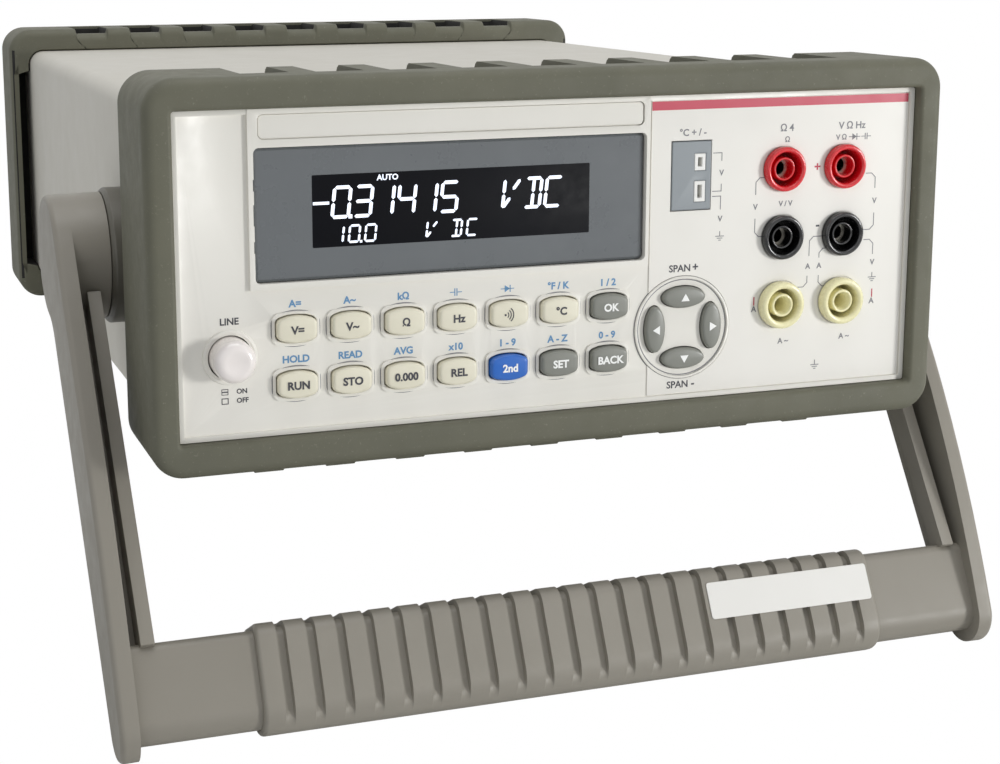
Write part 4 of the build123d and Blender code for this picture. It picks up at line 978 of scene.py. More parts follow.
@dataclass
class RearBumper(Bumper):
    """The rear frame: pockets in the top behind low sills, hollows beside the case, feet underneath."""

    node: str = "rear_bumper"
    half_width: float = 115.0
    half_height: float = 51.7
    front: float = 266.0
    rear: float = 296.0
    panel_back: float = 283.4
    opening_half_width: float = 103.0
    opening_half_height: float = 40.0
    opening_corner: float = 3.0
    opening_round: float = 1.0
    pocket_lead: float = 0.5
    notch_pitch: float = 20.9
    notch_half: float = 5.95
    sill_drop: float = 1.9
    pocket_depth: float = 6.0
    pocket_from: float = 270.5
    pocket_to: float = 289.0
    foot_start: float = 274.0
    foot_end: float = 292.0
    hollow: float = 5.5
    hollow_top: float = 39.6
    hollow_bottom: float = -43.0
    hollow_back: float = 282.0
    notch_marks: tuple[float, ...] = (3.0, 5.4, 5.6, 5.8, 5.95, 6.1, 6.25, 6.4, 7.0)
    side_marks: tuple[float, ...] = (0.86, 0.9, 0.94, 0.955, 0.965, 0.975, 0.985, 1.0)

    def rows(self) -> list[Row]:
        """The frame's section, as half width, half height, corner, y and surface of each loop."""
        outer = (self.half_width, self.half_height, self.corner)
        opening = (self.opening_half_width, self.opening_half_height, self.opening_corner)
        pocket = (self.pocket_half_width, self.pocket_half_height, self.pocket_corner)
        marks = np.concatenate((
            (269.6,), np.linspace(270.0, 271.2, 7), (272.5, 274.0, 274.3, 275.2, 276.1, 276.34, 276.7),
            (280.0, 284.0, 287.5), np.linspace(288.6, 289.4, 5), (289.66, 290.2, 291.2, 292.0, 292.6)))
        walls = (self.panel_back, 282.4, 282.1, 281.8, 281.5, 275.0, 266.9)
        return [
            *self.edge(outer, self.edge_round, self.front, (90, 0), self.edge_steps, Surface.OUTSIDE),
            *((*outer, depth, Surface.OUTSIDE) for depth in marks),
            *self.edge(outer, self.edge_round, self.rear, (0, 90), self.edge_steps, Surface.OUTSIDE),
            *self.edge(opening, self.opening_round, self.rear, (90, 180), 4, Surface.OPENING),
            (*opening, self.panel_back, Surface.OPENING),
            *((*pocket, depth, Surface.POCKET) for depth in walls),
            (*(size + self.pocket_lead for size in pocket), self.front, Surface.POCKET),
        ]

    def carve(self, points: np.ndarray) -> np.ndarray:
        """Lowers the sills, sinks the pockets behind them, and raises the feet.

        The top goes down by 1.9 mm over a sill and by 6 mm behind it, with a smooth step between the
        two and another up to the rear edge, times a plateau across the pocket.
        """
        x, y, z = points[:, 0], points[:, 1], points[:, 2]
        across = plateau(self.off_middle(x, self.notch_pitch), self.notch_half + 0.4, self.notch_half - 0.4)
        behind = smooth_step((y - self.pocket_from + 0.5) / 1.2)
        whole = smooth_step((self.pocket_to + 0.4 - y) / 0.8)
        drop = (self.sill_drop + (self.pocket_depth - self.sill_drop) * behind) * whole * across
        inner = (z > self.pocket_half_height) & (np.abs(x) < self.half_width - self.corner)
        carved = points.copy()
        carved[:, 2] -= np.where(inner, drop, 0.0) + self.foot(points, self.foot_start, self.foot_end)
        return carved

    def widen(self, points: np.ndarray) -> np.ndarray:
        """Opens the hollows beside the case in the pocket's side walls."""
        x, y, z = points[:, 0], points[:, 1], points[:, 2]
        middle = (self.hollow_top + self.hollow_bottom) / 2
        half = min(self.hollow_top - middle, self.pocket_half_height - self.pocket_corner - abs(middle))
        tall = plateau(z - middle, half + 0.3, half - 0.3)
        deep = smooth_step((self.hollow_back + 0.2 - y) / 0.4)
        wall = np.abs(x) > self.pocket_half_width - 0.1
        widened = points.copy()
        widened[:, 0] = np.where(wall, x + np.sign(x) * self.hollow * tall * deep, x)
        return widened

    def shade(self, piece: bpy.types.Object) -> None:
        """Paints the walls inside the pockets and the hollows near black, as painted shade of deep recesses.
        """
        mesh = piece.data
        # painted shade: the near-black rubber goes on the faces inside the pockets and the hollows
        mesh.materials.append(Finishes.pocket_painted_shade.material())
        flat = np.empty(len(mesh.polygons) * 3)
        mesh.polygons.foreach_get("center", flat)
        centres = STANCE.level(flat.reshape(-1, 3))
        x, y, z = centres[:, 0], centres[:, 1], centres[:, 2]
        across = np.abs(self.off_middle(x, self.notch_pitch)) < self.notch_half + 0.3
        below_top = (z > self.half_height - self.pocket_depth - 0.7) & (z < self.half_height - 0.4)
        sunk = across & below_top & (y > self.pocket_from + 0.4) & (y < self.pocket_to + 0.3)
        beside = (np.abs(x) > self.pocket_half_width + 0.2) & (np.abs(x) < self.half_width - 1.0)
        within = (np.abs(z) < self.pocket_half_height + 0.3) & (y > self.front + 0.3)
        hollow = beside & within & (y < self.hollow_back + 0.5)
        mesh.polygons.foreach_set("material_index", (sunk | hollow).astype(np.int32))

    def build(self) -> bpy.types.Object:
        """Makes the frame."""
        top = self.stations(self.notch_pitch, self.notch_marks)
        bottom = self.stations(self.foot_pitch, self.foot_marks)
        edge = np.array(self.side_marks)
        side = np.concatenate((-edge[::-1], np.linspace(-0.8, 0.8, 7), edge))
        shapers = {
            Surface.OUTSIDE: self.carve, Surface.OPENING: lambda points: points, Surface.POCKET: self.widen}
        loops = [shapers[surface](self.loop(*sizes, depth, top, bottom, side))
                 for *sizes, depth, surface in self.rows()]
        piece = lofted("rear_bumper_skin", np.array(loops), Finishes.bumper, True, self.sharp_angle)
        self.shade(piece)
        return piece

# ------------------------------------------------------------------------------------------ handle
@dataclass
class Handle:
    """The carrying handle, its ribbed rubber grip, and the bosses that it turns on."""

    middle_y: float = -8.646
    middle_z: float = -104.4
    lean: float = 28.0
    skin_height: float = 28.2
    skin_thickness: float = 17.4
    skin_top_corner: float = 4.2
    skin_bottom_corner: float = 7.7
    skin: float = 1.65
    sleeve_half_length: float = 89.75
    rib_count: int = 23
    slot_width: float = 2.3
    slot_end: float = 11.6
    slot_floor: float = 1.5
    slot_run_out: float = 3.2
    slot_marks: tuple[float, ...] = (-0.15, 0.0, 0.12, 0.3, 0.45)
    end_round: float = 1.2
    end_marks: tuple[float, ...] = (1.2, 0.9, 0.45, 0.12, 0.0)
    label_x: float = 63.2
    label_length: float = 50.5
    label_height: float = 10.1
    label_u: float = -4.35

    def to_level(self, x: np.ndarray, u: np.ndarray, v: np.ndarray) -> np.ndarray:
        """Grip coordinates to level ones.

        Args:
            x: to the right.
            u: from the grip's middle to its lower edge.
            v: towards the grip's front face.

        Returns:
            Level points, in the arrays' common shape.
        """
        lean = math.radians(self.lean)
        x, u, v = np.broadcast_arrays(x, u, v)
        y = self.middle_y - u * math.sin(lean) - v * math.cos(lean)
        z = self.middle_z - u * math.cos(lean) + v * math.sin(lean)
        return np.stack((x, y, z), axis=-1)

    def section(self) -> Outline:
        """The grip's section: tight corners along the top, wide ones along the lower edge.

        Its base is a rectangle's corners with the tight radius. The lower corners' base is itself an
        arc, whose radius is the difference between the two.
        """
        plain = self.densify(Outline.rectangle(
            self.skin_height, self.skin_thickness, self.skin_top_corner, 9))
        wide = self.skin_bottom_corner - self.skin_top_corner
        base = plain.base.copy()
        low = base[:, 0] > self.skin_height / 2 - self.skin_bottom_corner
        edge_u = self.skin_height / 2 - self.skin_bottom_corner
        edge_v = self.skin_thickness / 2 - self.skin_bottom_corner
        inner = np.column_stack((np.full(len(base), edge_u), np.clip(base[:, 1], -edge_v, edge_v)))
        corner = low & (np.abs(base[:, 1]) > edge_v)
        turned = inner + wide * plain.normals
        base = np.where(corner[:, None], turned, base)
        return Outline(base, plain.normals, plain.radius)

    def grip(self) -> bpy.types.Object:
        """Makes the ribbed grip.

        Its skin is one section carried along x. Between the ribs the section sinks by 1.5 mm, over
        the top edge and down the front, and runs out towards the lower edge.
        """
        pitch = (2 * self.sleeve_half_length + self.slot_width) / self.rib_count
        slots = (np.arange(self.rib_count - 1) - (self.rib_count - 2) / 2) * pitch
        edge = self.slot_width / 2
        edge_marks = edge + np.array(self.slot_marks)
        marks = np.concatenate((-edge_marks, (0.0,), edge_marks))
        ends = self.sleeve_half_length - np.array(self.end_marks)
        x = np.unique(np.concatenate(((slots[:, None] + marks).ravel(), ends, -ends)))
        fine = self.section()
        nearest = slots[np.abs(x[:, None] - slots).argmin(axis=1)]
        pulse = plateau(x - nearest, edge + 0.12, edge - 0.12)
        past = ((np.abs(x) - self.sleeve_half_length) / self.end_round + 1).clip(0)
        sink_end = self.end_round * (1 - np.sqrt(np.clip(1 - past ** 2, 0, 1)))
        u0, v0 = fine.at().T
        front = smooth_step((v0 + 1.0) / 2.0)
        share = front * smooth_step((self.slot_end + 0.6 - u0) / self.slot_run_out)
        inset = (self.slot_floor * share)[None, :] * pulse[:, None] + sink_end[:, None]
        section = fine.base + (fine.radius - inset[..., None]) * fine.normals
        outer = self.to_level(x[:, None], section[..., 0], section[..., 1])
        tube = fine.at(-self.skin)
        inner = self.to_level(x[[-1, 0]][:, None], tube[None, :, 0], tube[None, :, 1])
        return lofted("grip_sleeve_skin", np.concatenate((outer, inner)), Finishes.grip, ring=True,
                      sharp_angle=48)

    def densify(self, outline: Outline) -> Outline:
        """Adds points along an outline's straight sides: each gap between corners gets eleven more."""
        base, normals = outline.base, outline.normals
        count = len(base) // 4
        share = np.linspace(0, 1, 13)[1:-1][:, None]
        parts_base, parts_normals = [], []
        for side in range(4):
            start = side * count
            last = start + count - 1
            following = (last + 1) % len(base)
            parts_base += [base[start:last + 1], base[last] + share * (base[following] - base[last])]
            parts_normals += [normals[start:last + 1], np.repeat(normals[last:last + 1], 11, axis=0)]
        return Outline(np.vstack(parts_base), np.vstack(parts_normals), outline.radius)

    def label(self) -> bpy.types.Object:
        """Makes the bare white label on the grip: a thin plate with round corners."""
        outline = Outline.rectangle(self.label_length, self.label_height, 0.8, 4)
        top = self.skin_thickness / 2
        steps = ((0.0, top - 0.05), (0.0, top + 0.22), (-0.08, top + 0.3))
        loops = []
        for margin, level in steps:
            flat = outline.at(margin)
            loops.append(self.to_level(self.label_x + flat[:, 0], self.label_u + flat[:, 1],
                                       np.full(len(flat), level)))
        return lofted("grip_label_film", np.array(loops), Finishes.label)

    def dress(self) -> None:
        """Dresses the handle and what it turns on."""
        eased("carrying_handle", width=0.5, segments=3, angle=40)
        settle(self.grip(), "handle", "grip_rubber", "grip_sleeve")
        settle(self.label(), "handle", "label_film", "grip_label")
        eased("pivot_bosses", width=0.3)


# -------------------------------------------------------------------------------------- the legends
Edges = tuple[float, float, float, float]


def rectangle(edges: Edges) -> list[Point]:
    """The corners of a rectangle given by its left, bottom, right and top."""
    left, bottom, right, top = edges
    return [(left, bottom), (right, bottom), (right, top), (left, top)]


@dataclass(frozen=True)
class Sheet:
    """What a mark is printed on: the surface's y, the body that carries it, and its slot."""

    surface: float = 0.0
    body: str = "instrument"
    slot: str = "panel_plastic"


PANEL = Sheet()
OVERLAY = Sheet(-0.3)
STRIPE = Sheet(-0.3, slot="overlay_film")
LENS = Sheet(0.35, slot="lens_acrylic")


@dataclass
class Legends:
    """Printed marks on the panel, gathered by ink and body, each a thin flat plate of ink."""

    lift: float = 0.05
    thickness: float = 0.04
    capital_share: float = 0.729
    letters: dict[tuple[str, str, str], list[tuple]] = field(default_factory=dict)

    def text(
        self,
        words: str,
        x: float,
        z: float,
        height: float,
        ink: Coating,
        sheet: Sheet = PANEL,
        align: Align = Align.CENTRE,
        weight: float = 0.05,
    ) -> None:
        """Prints words.

        Args:
            words: what they say.
            x: where the line starts, is centred or ends.
            z: the foot of the letters.
            height: the capitals' height.
            ink: their finish.
            sheet: what they are printed on.
            align: what x means.
            weight: how far, in millimetres, the strokes are thickened on each side.
        """
        curve = bpy.data.curves.new("legend", "FONT")
        curve.body = words
        curve.align_x = align.value
        curve.size = height / self.capital_share
        curve.offset = weight
        curve.resolution_u = 3
        text = bpy.data.objects.new("legend", curve)
        bpy.context.scene.collection.objects.link(text)
        bpy.context.view_layer.update()
        mesh = bpy.data.meshes.new_from_object(text)
        bpy.data.objects.remove(text)
        bpy.data.curves.remove(curve)
        flat = np.empty(len(mesh.vertices) * 3)
        mesh.vertices.foreach_get("co", flat)
        faces = [list(polygon.vertices) for polygon in mesh.polygons]
        bpy.data.meshes.remove(mesh)
        self.add(flat.reshape(-1, 3)[:, :2] + (x, z), faces, ink, sheet)

    def stroke(
        self,
        path: list[Point],
        width: float,
        ink: Coating,
        sheet: Sheet = PANEL,
        closed: bool = False,
    ) -> None:
        """Prints a line of even width along a path, with mitred corners.

        Each corner's two points are its place plus and minus half the width along the mean of its two
        normals, over the cosine of half its turn.
        """
        line = np.array(path, float)
        following = np.roll(line, -1, axis=0) - line
        if not closed:
            following[-1] = following[-2]
        following /= np.linalg.norm(following, axis=1)[:, None]
        before = np.roll(following, 1, axis=0)
        if not closed:
            before[0] = following[0]
        normal = np.column_stack((-following[:, 1], following[:, 0]))
        mean = normal + np.column_stack((-before[:, 1], before[:, 0]))
        mean /= np.linalg.norm(mean, axis=1)[:, None]
        reach = (width / 2 / np.clip(np.sum(mean * normal, axis=1), 0.3, None))[:, None]
        count = len(line)
        first = np.arange(count if closed else count - 1)
        second = (first + 1) % count
        faces = np.column_stack((first, second, second + count, first + count)).tolist()
        self.add(np.vstack((line + mean * reach, line - mean * reach)), faces, ink, sheet)

    def shape(self, corners: list[Point], ink: Coating, sheet: Sheet = PANEL) -> None:
        """Prints one filled shape from its corners."""
        self.add(np.array(corners, float), [list(range(len(corners)))], ink, sheet)

    def box(self, edges: Edges, ink: Coating, sheet: Sheet = PANEL) -> None:
        """Prints one filled rectangle, given by its left, bottom, right and top."""
        self.shape(rectangle(edges), ink, sheet)

    def border(self, edges: Edges, width: float, ink: Coating) -> None:
        """Prints a rectangle's outline on the panel."""
        self.stroke(rectangle(edges), width, ink, closed=True)

    def add(self, flat: np.ndarray, faces: list[list[int]], ink: Coating, sheet: Sheet) -> None:
        points = np.column_stack((flat[:, 0], np.full(len(flat), sheet.surface - self.lift), flat[:, 1]))
        self.letters.setdefault((ink.name, sheet.body, sheet.slot), []).append((points, faces, ink))

    def finish(self) -> None:
        """Joins the marks of each ink and body into one piece, and gives it its thickness.

        Each mark is a front skin and a back skin 0.04 mm behind it, joined along the open edges.
        """
        depth = STANCE.direction((0.0, 1.0, 0.0)) * (self.thickness * MM)
        forward = -depth.normalized()
        for (ink_name, body, slot), marks in self.letters.items():
            shell = bmesh.new()
            for points, faces, _ in marks:
                places = [shell.verts.new(place) for place in STANCE.place(points)]
                for face in faces:
                    if len(set(face)) > 2:
                        shell.faces.new([places[index] for index in face])
            bmesh.ops.remove_doubles(shell, verts=shell.verts, dist=1e-7)
            shell.normal_update()
            flipped = [face for face in shell.faces if face.normal.dot(forward) < 0]
            bmesh.ops.reverse_faces(shell, faces=flipped)
            back = bmesh.ops.extrude_face_region(shell, geom=list(shell.faces), use_keep_orig=True)["geom"]
            moved = [item for item in back if isinstance(item, bmesh.types.BMVert)]
            bmesh.ops.translate(shell, verts=moved, vec=depth)
            bmesh.ops.recalc_face_normals(shell, faces=shell.faces)
            name = f"{ink_name}_on_{body}"
            mesh = bpy.data.meshes.new(name)
            shell.to_mesh(mesh)
            shell.free()
            mesh.materials.append(marks[0][2].material())
            settle(linked(name, mesh), body, slot)


def diode_mark(legends: Legends, x: float, z: float, ink: Coating, sheet: Sheet, size: float) -> None:
    """Prints a diode's symbol: a lead, a triangle, a bar and a lead, size being half its height."""
    legends.stroke([(x - 2.0 * size, z), (x + 2.0 * size, z)], 0.2, ink, sheet)
    legends.shape([(x - 0.8 * size, z - size), (x + 0.7 * size, z), (x - 0.8 * size, z + size)], ink, sheet)
    legends.stroke([(x + 0.8 * size, z - size), (x + 0.8 * size, z + size)], 0.25, ink, sheet)


def capacitor_mark(legends: Legends, x: float, z: float, ink: Coating, sheet: Sheet, size: float) -> None:
    """Prints a capacitor's symbol: two leads and two plates, size being half a plate's height."""
    for plate, lead_end in ((x - 0.3, x - 1.7 * size), (x + 0.3, x + 1.7 * size)):
        legends.stroke([(plate, z), (lead_end, z)], 0.2, ink, sheet)
        legends.stroke([(plate, z - size), (plate, z + size)], 0.26, ink, sheet)


def waves_mark(legends: Legends, x: float, z: float, ink: Coating, sheet: Sheet) -> None:
    """Prints a sounder's symbol: a dot and three arcs that spread to the right."""
    source = (x - 1.5, z)
    legends.shape(arc(source, 0.3, 0, 330, 11).tolist(), ink, sheet)
    for radius in (0.9, 1.6, 2.3):
        legends.stroke(arc(source, radius, -48, 48, 10).tolist(), 0.26, ink, sheet)


def ground_mark(legends: Legends, x: float, z: float, ink: Coating, sheet: Sheet, width: float) -> None:
    """Prints a ground symbol: a short stem over three bars."""
    legends.stroke([(x, z + 0.6), (x, z - 0.8)], width, ink, sheet)
    for drop, half in ((0.8, 1.3), (1.35, 0.85), (1.9, 0.4)):
        legends.stroke([(x - half, z - drop), (x + half, z - drop)], width, ink, sheet)


# ---------------------------------------------------------------------------------------- display
@dataclass(frozen=True)
class SegmentLetters:
    """Characters made of lit bars, as a segment display shows them. Sizes are in millimetres."""

    width: float
    height: float
    pitch: float
    stroke: float
    slant: float = 0.11
    gap: float = 0.1
    bars: tuple[tuple[str, tuple[float, float, float, float]], ...] = (
        ("a", (0.0, 1.0, 1.0, 1.0)), ("b", (1.0, 1.0, 1.0, 0.5)), ("c", (1.0, 0.5, 1.0, 0.0)),
        ("d", (0.0, 0.0, 1.0, 0.0)), ("e", (0.0, 0.5, 0.0, 0.0)), ("f", (0.0, 1.0, 0.0, 0.5)),
        ("g", (0.0, 0.5, 1.0, 0.5)), ("j", (1.0, 1.0, 0.55, 0.62)), ("k", (0.0, 0.0, 0.45, 0.38)),
        ("m", (0.5, 1.0, 0.5, 0.5)), ("n", (0.5, 0.5, 0.5, 0.0)),
    )
    lit: tuple[tuple[str, str], ...] = (
        ("0", "abcdef"), ("1", "bc"), ("2", "abged"), ("3", "abgcd"), ("4", "fgbc"), ("5", "afgcd"),
        ("6", "afgedc"), ("7", "abc"), ("8", "abcdefg"), ("9", "abcdfg"), ("V", "fekj"), ("D", "abcdmn"),
        ("C", "adef"),
    )

    def bar(self, start: np.ndarray, end: np.ndarray) -> np.ndarray:
        """One lit bar: a line with pointed ends, given by its six corners."""
        along = (end - start) / np.linalg.norm(end - start)
        normal = np.array((-along[1], along[0])) * self.stroke / 2
        start = start + along * self.gap
        end = end - along * self.gap
        point = along * self.stroke / 2
        return np.array((
            start, start + point + normal, end - point + normal, end, end - point - normal,
            start + point - normal))

    def write(self, legends: Legends, words: str, x: float, z: float) -> None:
        """Shows characters side by side. A full stop takes no room of its own.

        Args:
            legends: where the marks are gathered.
            words: the characters.
            x: the left edge of the first one's foot.
            z: the feet's level.
        """
        bars, lit = dict(self.bars), dict(self.lit)
        size = np.array((self.width, self.height))
        for letter in words:
            if letter == ".":
                dot = x - (self.pitch - self.width) * 0.62
                half = self.stroke * 0.55
                legends.box((dot - half, z - half, dot + half, z + half), Finishes.segment, LENS)
                continue
            for name in lit[letter]:
                x0, z0, x1, z1 = bars[name]
                corners = self.bar(np.array((x0, z0)) * size, np.array((x1, z1)) * size)
                corners[:, 0] += corners[:, 1] * self.slant + x
                corners[:, 1] += z
                legends.shape(corners.tolist(), Finishes.segment, LENS)
            x += self.pitch


@dataclass
class Display:
    """The window: a printed acrylic lens over a black display with two lines of characters."""

    middle: Point = (-31.1, 15.3)
    width: float = 107.8
    height: float = 34.2
    corner: float = 1.3
    face: float = 0.4
    back: float = 3.0
    flange: float = 1.4
    flange_back: float = 4.2
    glass_middle: Point = (-31.45, 15.65)
    glass_width: float = 76.7
    glass_height: float = 18.7
    big: SegmentLetters = SegmentLetters(width=4.3, height=7.6, pitch=5.85, stroke=0.92)
    small: SegmentLetters = SegmentLetters(width=2.7, height=4.2, pitch=4.35, stroke=0.58)
    big_foot: float = 14.0
    big_line: tuple[tuple[str, float], ...] = (("0.31415", -64.6), ("V", -18.0), ("DC", -11.9))
    small_foot: float = 7.4
    small_line: tuple[tuple[str, float], ...] = (("10.0", -64.6), ("V", -39.2), ("DC", -32.4))
    minus: Edges = (-69.6, 17.35, -65.3, 18.1)
    mark: Point = (-52.5, 23.0)

    def lens(self) -> bpy.types.Object:
        """Makes the lens: its rim is bevelled by 0.8 mm, and a flange behind it holds it in."""
        outline = Outline.rectangle(self.width, self.height, self.corner, 5)
        steps = [
            (self.flange, self.flange_back), (self.flange, self.back), (0.0, self.back),
            (0.0, self.face + 0.45), (-0.15, self.face + 0.2), (-0.75, self.face),
        ]
        return stacked("display_lens_acrylic", outline, self.middle, steps, Finishes.mask, sharp_angle=12)

    def glass(self) -> bpy.types.Object:
        """Makes the black display area, seen through the lens's clear middle."""
        outline = Outline.rectangle(self.glass_width, self.glass_height, 0.3, 3)
        steps = [(0.0, self.face + 0.3), (0.0, self.face - 0.03), (-0.05, self.face - 0.05)]
        return stacked("display_glass", outline, self.glass_middle, steps, Finishes.glass)

    def characters(self, legends: Legends) -> None:
        """Shows a reading and its range, in slanted segment letters, with a small mark above."""
        legends.box(self.minus, Finishes.segment, LENS)
        for words, left in self.big_line:
            self.big.write(legends, words, left, self.big_foot)
        for words, left in self.small_line:
            self.small.write(legends, words, left, self.small_foot)
        legends.text("AUTO", *self.mark, 1.5, Finishes.segment, LENS, Align.LEFT)

    def dress(self, legends: Legends) -> None:
        """Puts the window's pieces in place."""
        settle(self.lens(), "instrument", "lens_acrylic", "display_lens")
        settle(self.glass(), "instrument", "lens_acrylic")
        self.characters(legends)


# ------------------------------------------------------------------------------------------- keypad
class KeyShape(Enum):
    """The colour group of a key."""

    CREAM = "key_cream"
    GREY = "key_grey"
    BLUE = "key_blue"


@dataclass(frozen=True)
class Key:
    """One key of the two rows: its node's name, its place in the grid, its group and its marks."""

    node: str
    column: int
    row: int
    group: KeyShape
    cap: str
    above: str


@dataclass
class Keypad:
    """The fourteen keys, the four arrow keys, and the rims round them."""

    first_x: float = -74.8
    pitch: float = 14.55
    row_z: Point = (-14.1, -28.6)
    width: float = 10.5
    height: float = 7.1
    arch: float = 0.7
    corner: float = 1.6
    proud: float = 2.6
    edge_round: float = 0.85
    crown: float = 0.22
    flange_front: float = 3.3
    flange: float = 1.0
    flange_reach: float = 0.9
    rim_inner: float = 0.28
    rim: float = 0.75
    rim_rise: float = 0.55
    pad_x: float = 35.0
    pad_z: float = -21.6
    spread: float = 8.55
    arrow_length: float = 12.8
    arrow_width: float = 5.8
    arrow_proud: float = 2.0
    arrow_mark: tuple[Point, ...] = ((-1.25, -0.95), (1.25, -0.95), (0.0, 1.15))
    ring_radius: float = 14.0
    keys: tuple[Key, ...] = (
        Key("key_volts_dc", 0, 0, KeyShape.CREAM, "V=", "A="),
        Key("key_volts_ac", 1, 0, KeyShape.CREAM, "V~", "A~"),
        Key("key_ohms", 2, 0, KeyShape.CREAM, "Ω", "kΩ"),
        Key("key_frequency", 3, 0, KeyShape.CREAM, "Hz", "capacitor"),
        Key("key_continuity", 4, 0, KeyShape.CREAM, "waves", "diode"),
        Key("key_temperature", 5, 0, KeyShape.CREAM, "°C", "°F / K"),
        Key("key_enter", 6, 0, KeyShape.GREY, "OK", "1 / 2"),
        Key("key_trigger", 0, 1, KeyShape.CREAM, "RUN", "HOLD"),
        Key("key_store", 1, 1, KeyShape.CREAM, "STO", "READ"),
        Key("key_digits", 2, 1, KeyShape.CREAM, "0.000", "AVG"),
        Key("key_null", 3, 1, KeyShape.CREAM, "REL", "x10"),
        Key("key_shift", 4, 1, KeyShape.BLUE, "2nd", "1 - 9"),
        Key("key_setup", 5, 1, KeyShape.GREY, "SET", "A - Z"),
        Key("key_escape", 6, 1, KeyShape.GREY, "BACK", "0 - 9"),
    )

    def place(self, key: Key) -> Point:
        """A key's middle."""
        return self.first_x + key.column * self.pitch, self.row_z[key.row]

    def cap_steps(self, proud: float) -> list[tuple[float, ...]]:
        """A cap's section: flange, side, rounded edge, and a crown that rises towards the middle."""
        front = -proud + self.crown
        return [
            (self.flange_reach, self.flange_front + self.flange), (self.flange_reach, self.flange_front),
            (0.0, self.flange_front), (0.0, PANEL_DEPTH),
            *((along - self.edge_round, front + self.edge_round - up)
              for along, up in arc((0.0, 0.0), self.edge_round, 0, 82, 7)),
            *((-self.edge_round, front - self.crown * (1 - shrink ** 2), shrink)
              for shrink in (0.93, 0.82, 0.66, 0.46, 0.24, 0.04)),
        ]

    def rim_steps(self, inner: float, width: float, rise: float) -> list[tuple[float, ...]]:
        """A raised ring's section: half a rounded bar from the panel's face up to its crest."""
        return [
            (inner + width, PANEL_DEPTH), (inner + width, 0.0),
            *((inner + width / 2 + along * width / 2, -up * rise) for along, up in HALF_TURN),
            (inner, 0.0), (inner, PANEL_DEPTH),
        ]

    def caps(self) -> None:
        """Makes the fourteen caps."""
        outline = Outline.barrel(self.width, self.height, self.arch, self.corner)
        finishes = {
            KeyShape.CREAM: Finishes.key_cream,
            KeyShape.GREY: Finishes.key_grey,
            KeyShape.BLUE: Finishes.key_blue,
        }
        for key in self.keys:
            cap = stacked(key.node + "_cap", outline, self.place(key), self.cap_steps(self.proud),
                          finishes[key.group], sharp_angle=50)
            settle(cap, key.node, key.group.value, key.node)

    def rims(self) -> None:
        """Makes the rims, with a fine grey ring of painted shade round each where it meets the panel."""
        outline = Outline.barrel(self.width, self.height, self.arch, self.corner)
        for key in self.keys:
            rim = stacked(key.node.replace("key_", "rim_"), outline, self.place(key),
                          self.rim_steps(self.rim_inner, self.rim, self.rim_rise), Finishes.panel, True, 60)
            settle(rim, "instrument", "panel_plastic")
            # painted shade: a grey ring along the rim's outer foot
            self.line(key.node.replace("key_", "line_"), outline, self.place(key), (1.02, 1.3), 0.03)

    def line(self, name: str, outline: Outline, centre: Point, margins: Point, rise: float) -> None:
        """Prints a fine grey ring of painted shade, where a raised rim meets the panel.

        Args:
            name: the piece's name.
            outline: the curve that it follows.
            centre: its middle.
            margins: how far inside and outside the curve it runs.
            rise: how far it stands out of the panel's face.
        """
        inner, outer = margins
        steps = [(outer, 0.02), (outer, -rise), (inner, -rise), (inner, 0.02)]
        settle(stacked(name, outline, centre, steps, Finishes.grey_ink_and_crease_shade, True), "instrument", "panel_plastic")

    def arrows(self, legends: Legends) -> None:
        """Makes the arrow keys, their raised ring with a grey line of painted shade along each foot, and
        their triangles.
        """
        headings = {"arrow_up": (0, 1), "arrow_down": (0, -1), "arrow_left": (-1, 0), "arrow_right": (1, 0)}
        for node, (across, up) in headings.items():
            centre = (self.pad_x + across * self.spread, self.pad_z + up * self.spread)
            outline = Outline.ellipse(self.arrow_length, self.arrow_width, 72, 90 * abs(across))
            cap = stacked(node + "_cap", outline, centre, self.cap_steps(self.arrow_proud),
                          Finishes.key_grey, sharp_angle=50)
            settle(cap, node, "key_grey", node)
            turn = np.array(((up, -across), (across, up)))
            corners = (np.array(self.arrow_mark) @ turn + centre).tolist()
            legends.shape(corners, Finishes.ink_white, Sheet(-self.arrow_proud, node, "key_grey"))
        middle = (self.pad_x, self.pad_z)
        ring = Outline.ellipse(2 * self.ring_radius, 2 * self.ring_radius, 144)
        outer = stacked("arrow_pad_ring", ring, middle, self.rim_steps(-0.35, 0.7, 0.5), Finishes.panel,
                        True, 60)
        settle(outer, "instrument", "panel_plastic")
        # painted shade: grey lines along the arrow ring's outer and inner feet
        for name, radius in (("arrow_pad_line_outer", 14.45), ("arrow_pad_line_inner", 13.35)):
            self.line(name, Outline.ellipse(2 * radius, 2 * radius, 144), middle, (-0.14, 0.14), 0.04)

    def marks(self, legends: Legends) -> None:
        """Prints the marks on and above the keys."""
        for key in self.keys:
            x, z = self.place(key)
            cap_ink = Finishes.ink_dark if key.group is KeyShape.CREAM else Finishes.ink_white
            sheet = Sheet(-self.proud, key.node, key.group.value)
            if key.cap == "waves":
                waves_mark(legends, x, z, cap_ink, sheet)
            else:
                legends.text(key.cap, x, z - 1.0, 2.1, cap_ink, sheet, weight=0.1)
            if key.above == "capacitor":
                capacitor_mark(legends, x, z + 6.6, Finishes.ink_blue, PANEL, 1.0)
            elif key.above == "diode":
                diode_mark(legends, x, z + 6.6, Finishes.ink_blue, PANEL, 0.95)
            else:
                legends.text(key.above, x, z + 5.6, 1.9, Finishes.ink_blue, weight=0.09)

    def dress(self, legends: Legends) -> None:
        """Makes the whole keypad."""
        self.caps()
        self.rims()
        self.arrows(legends)
        self.marks(legends)


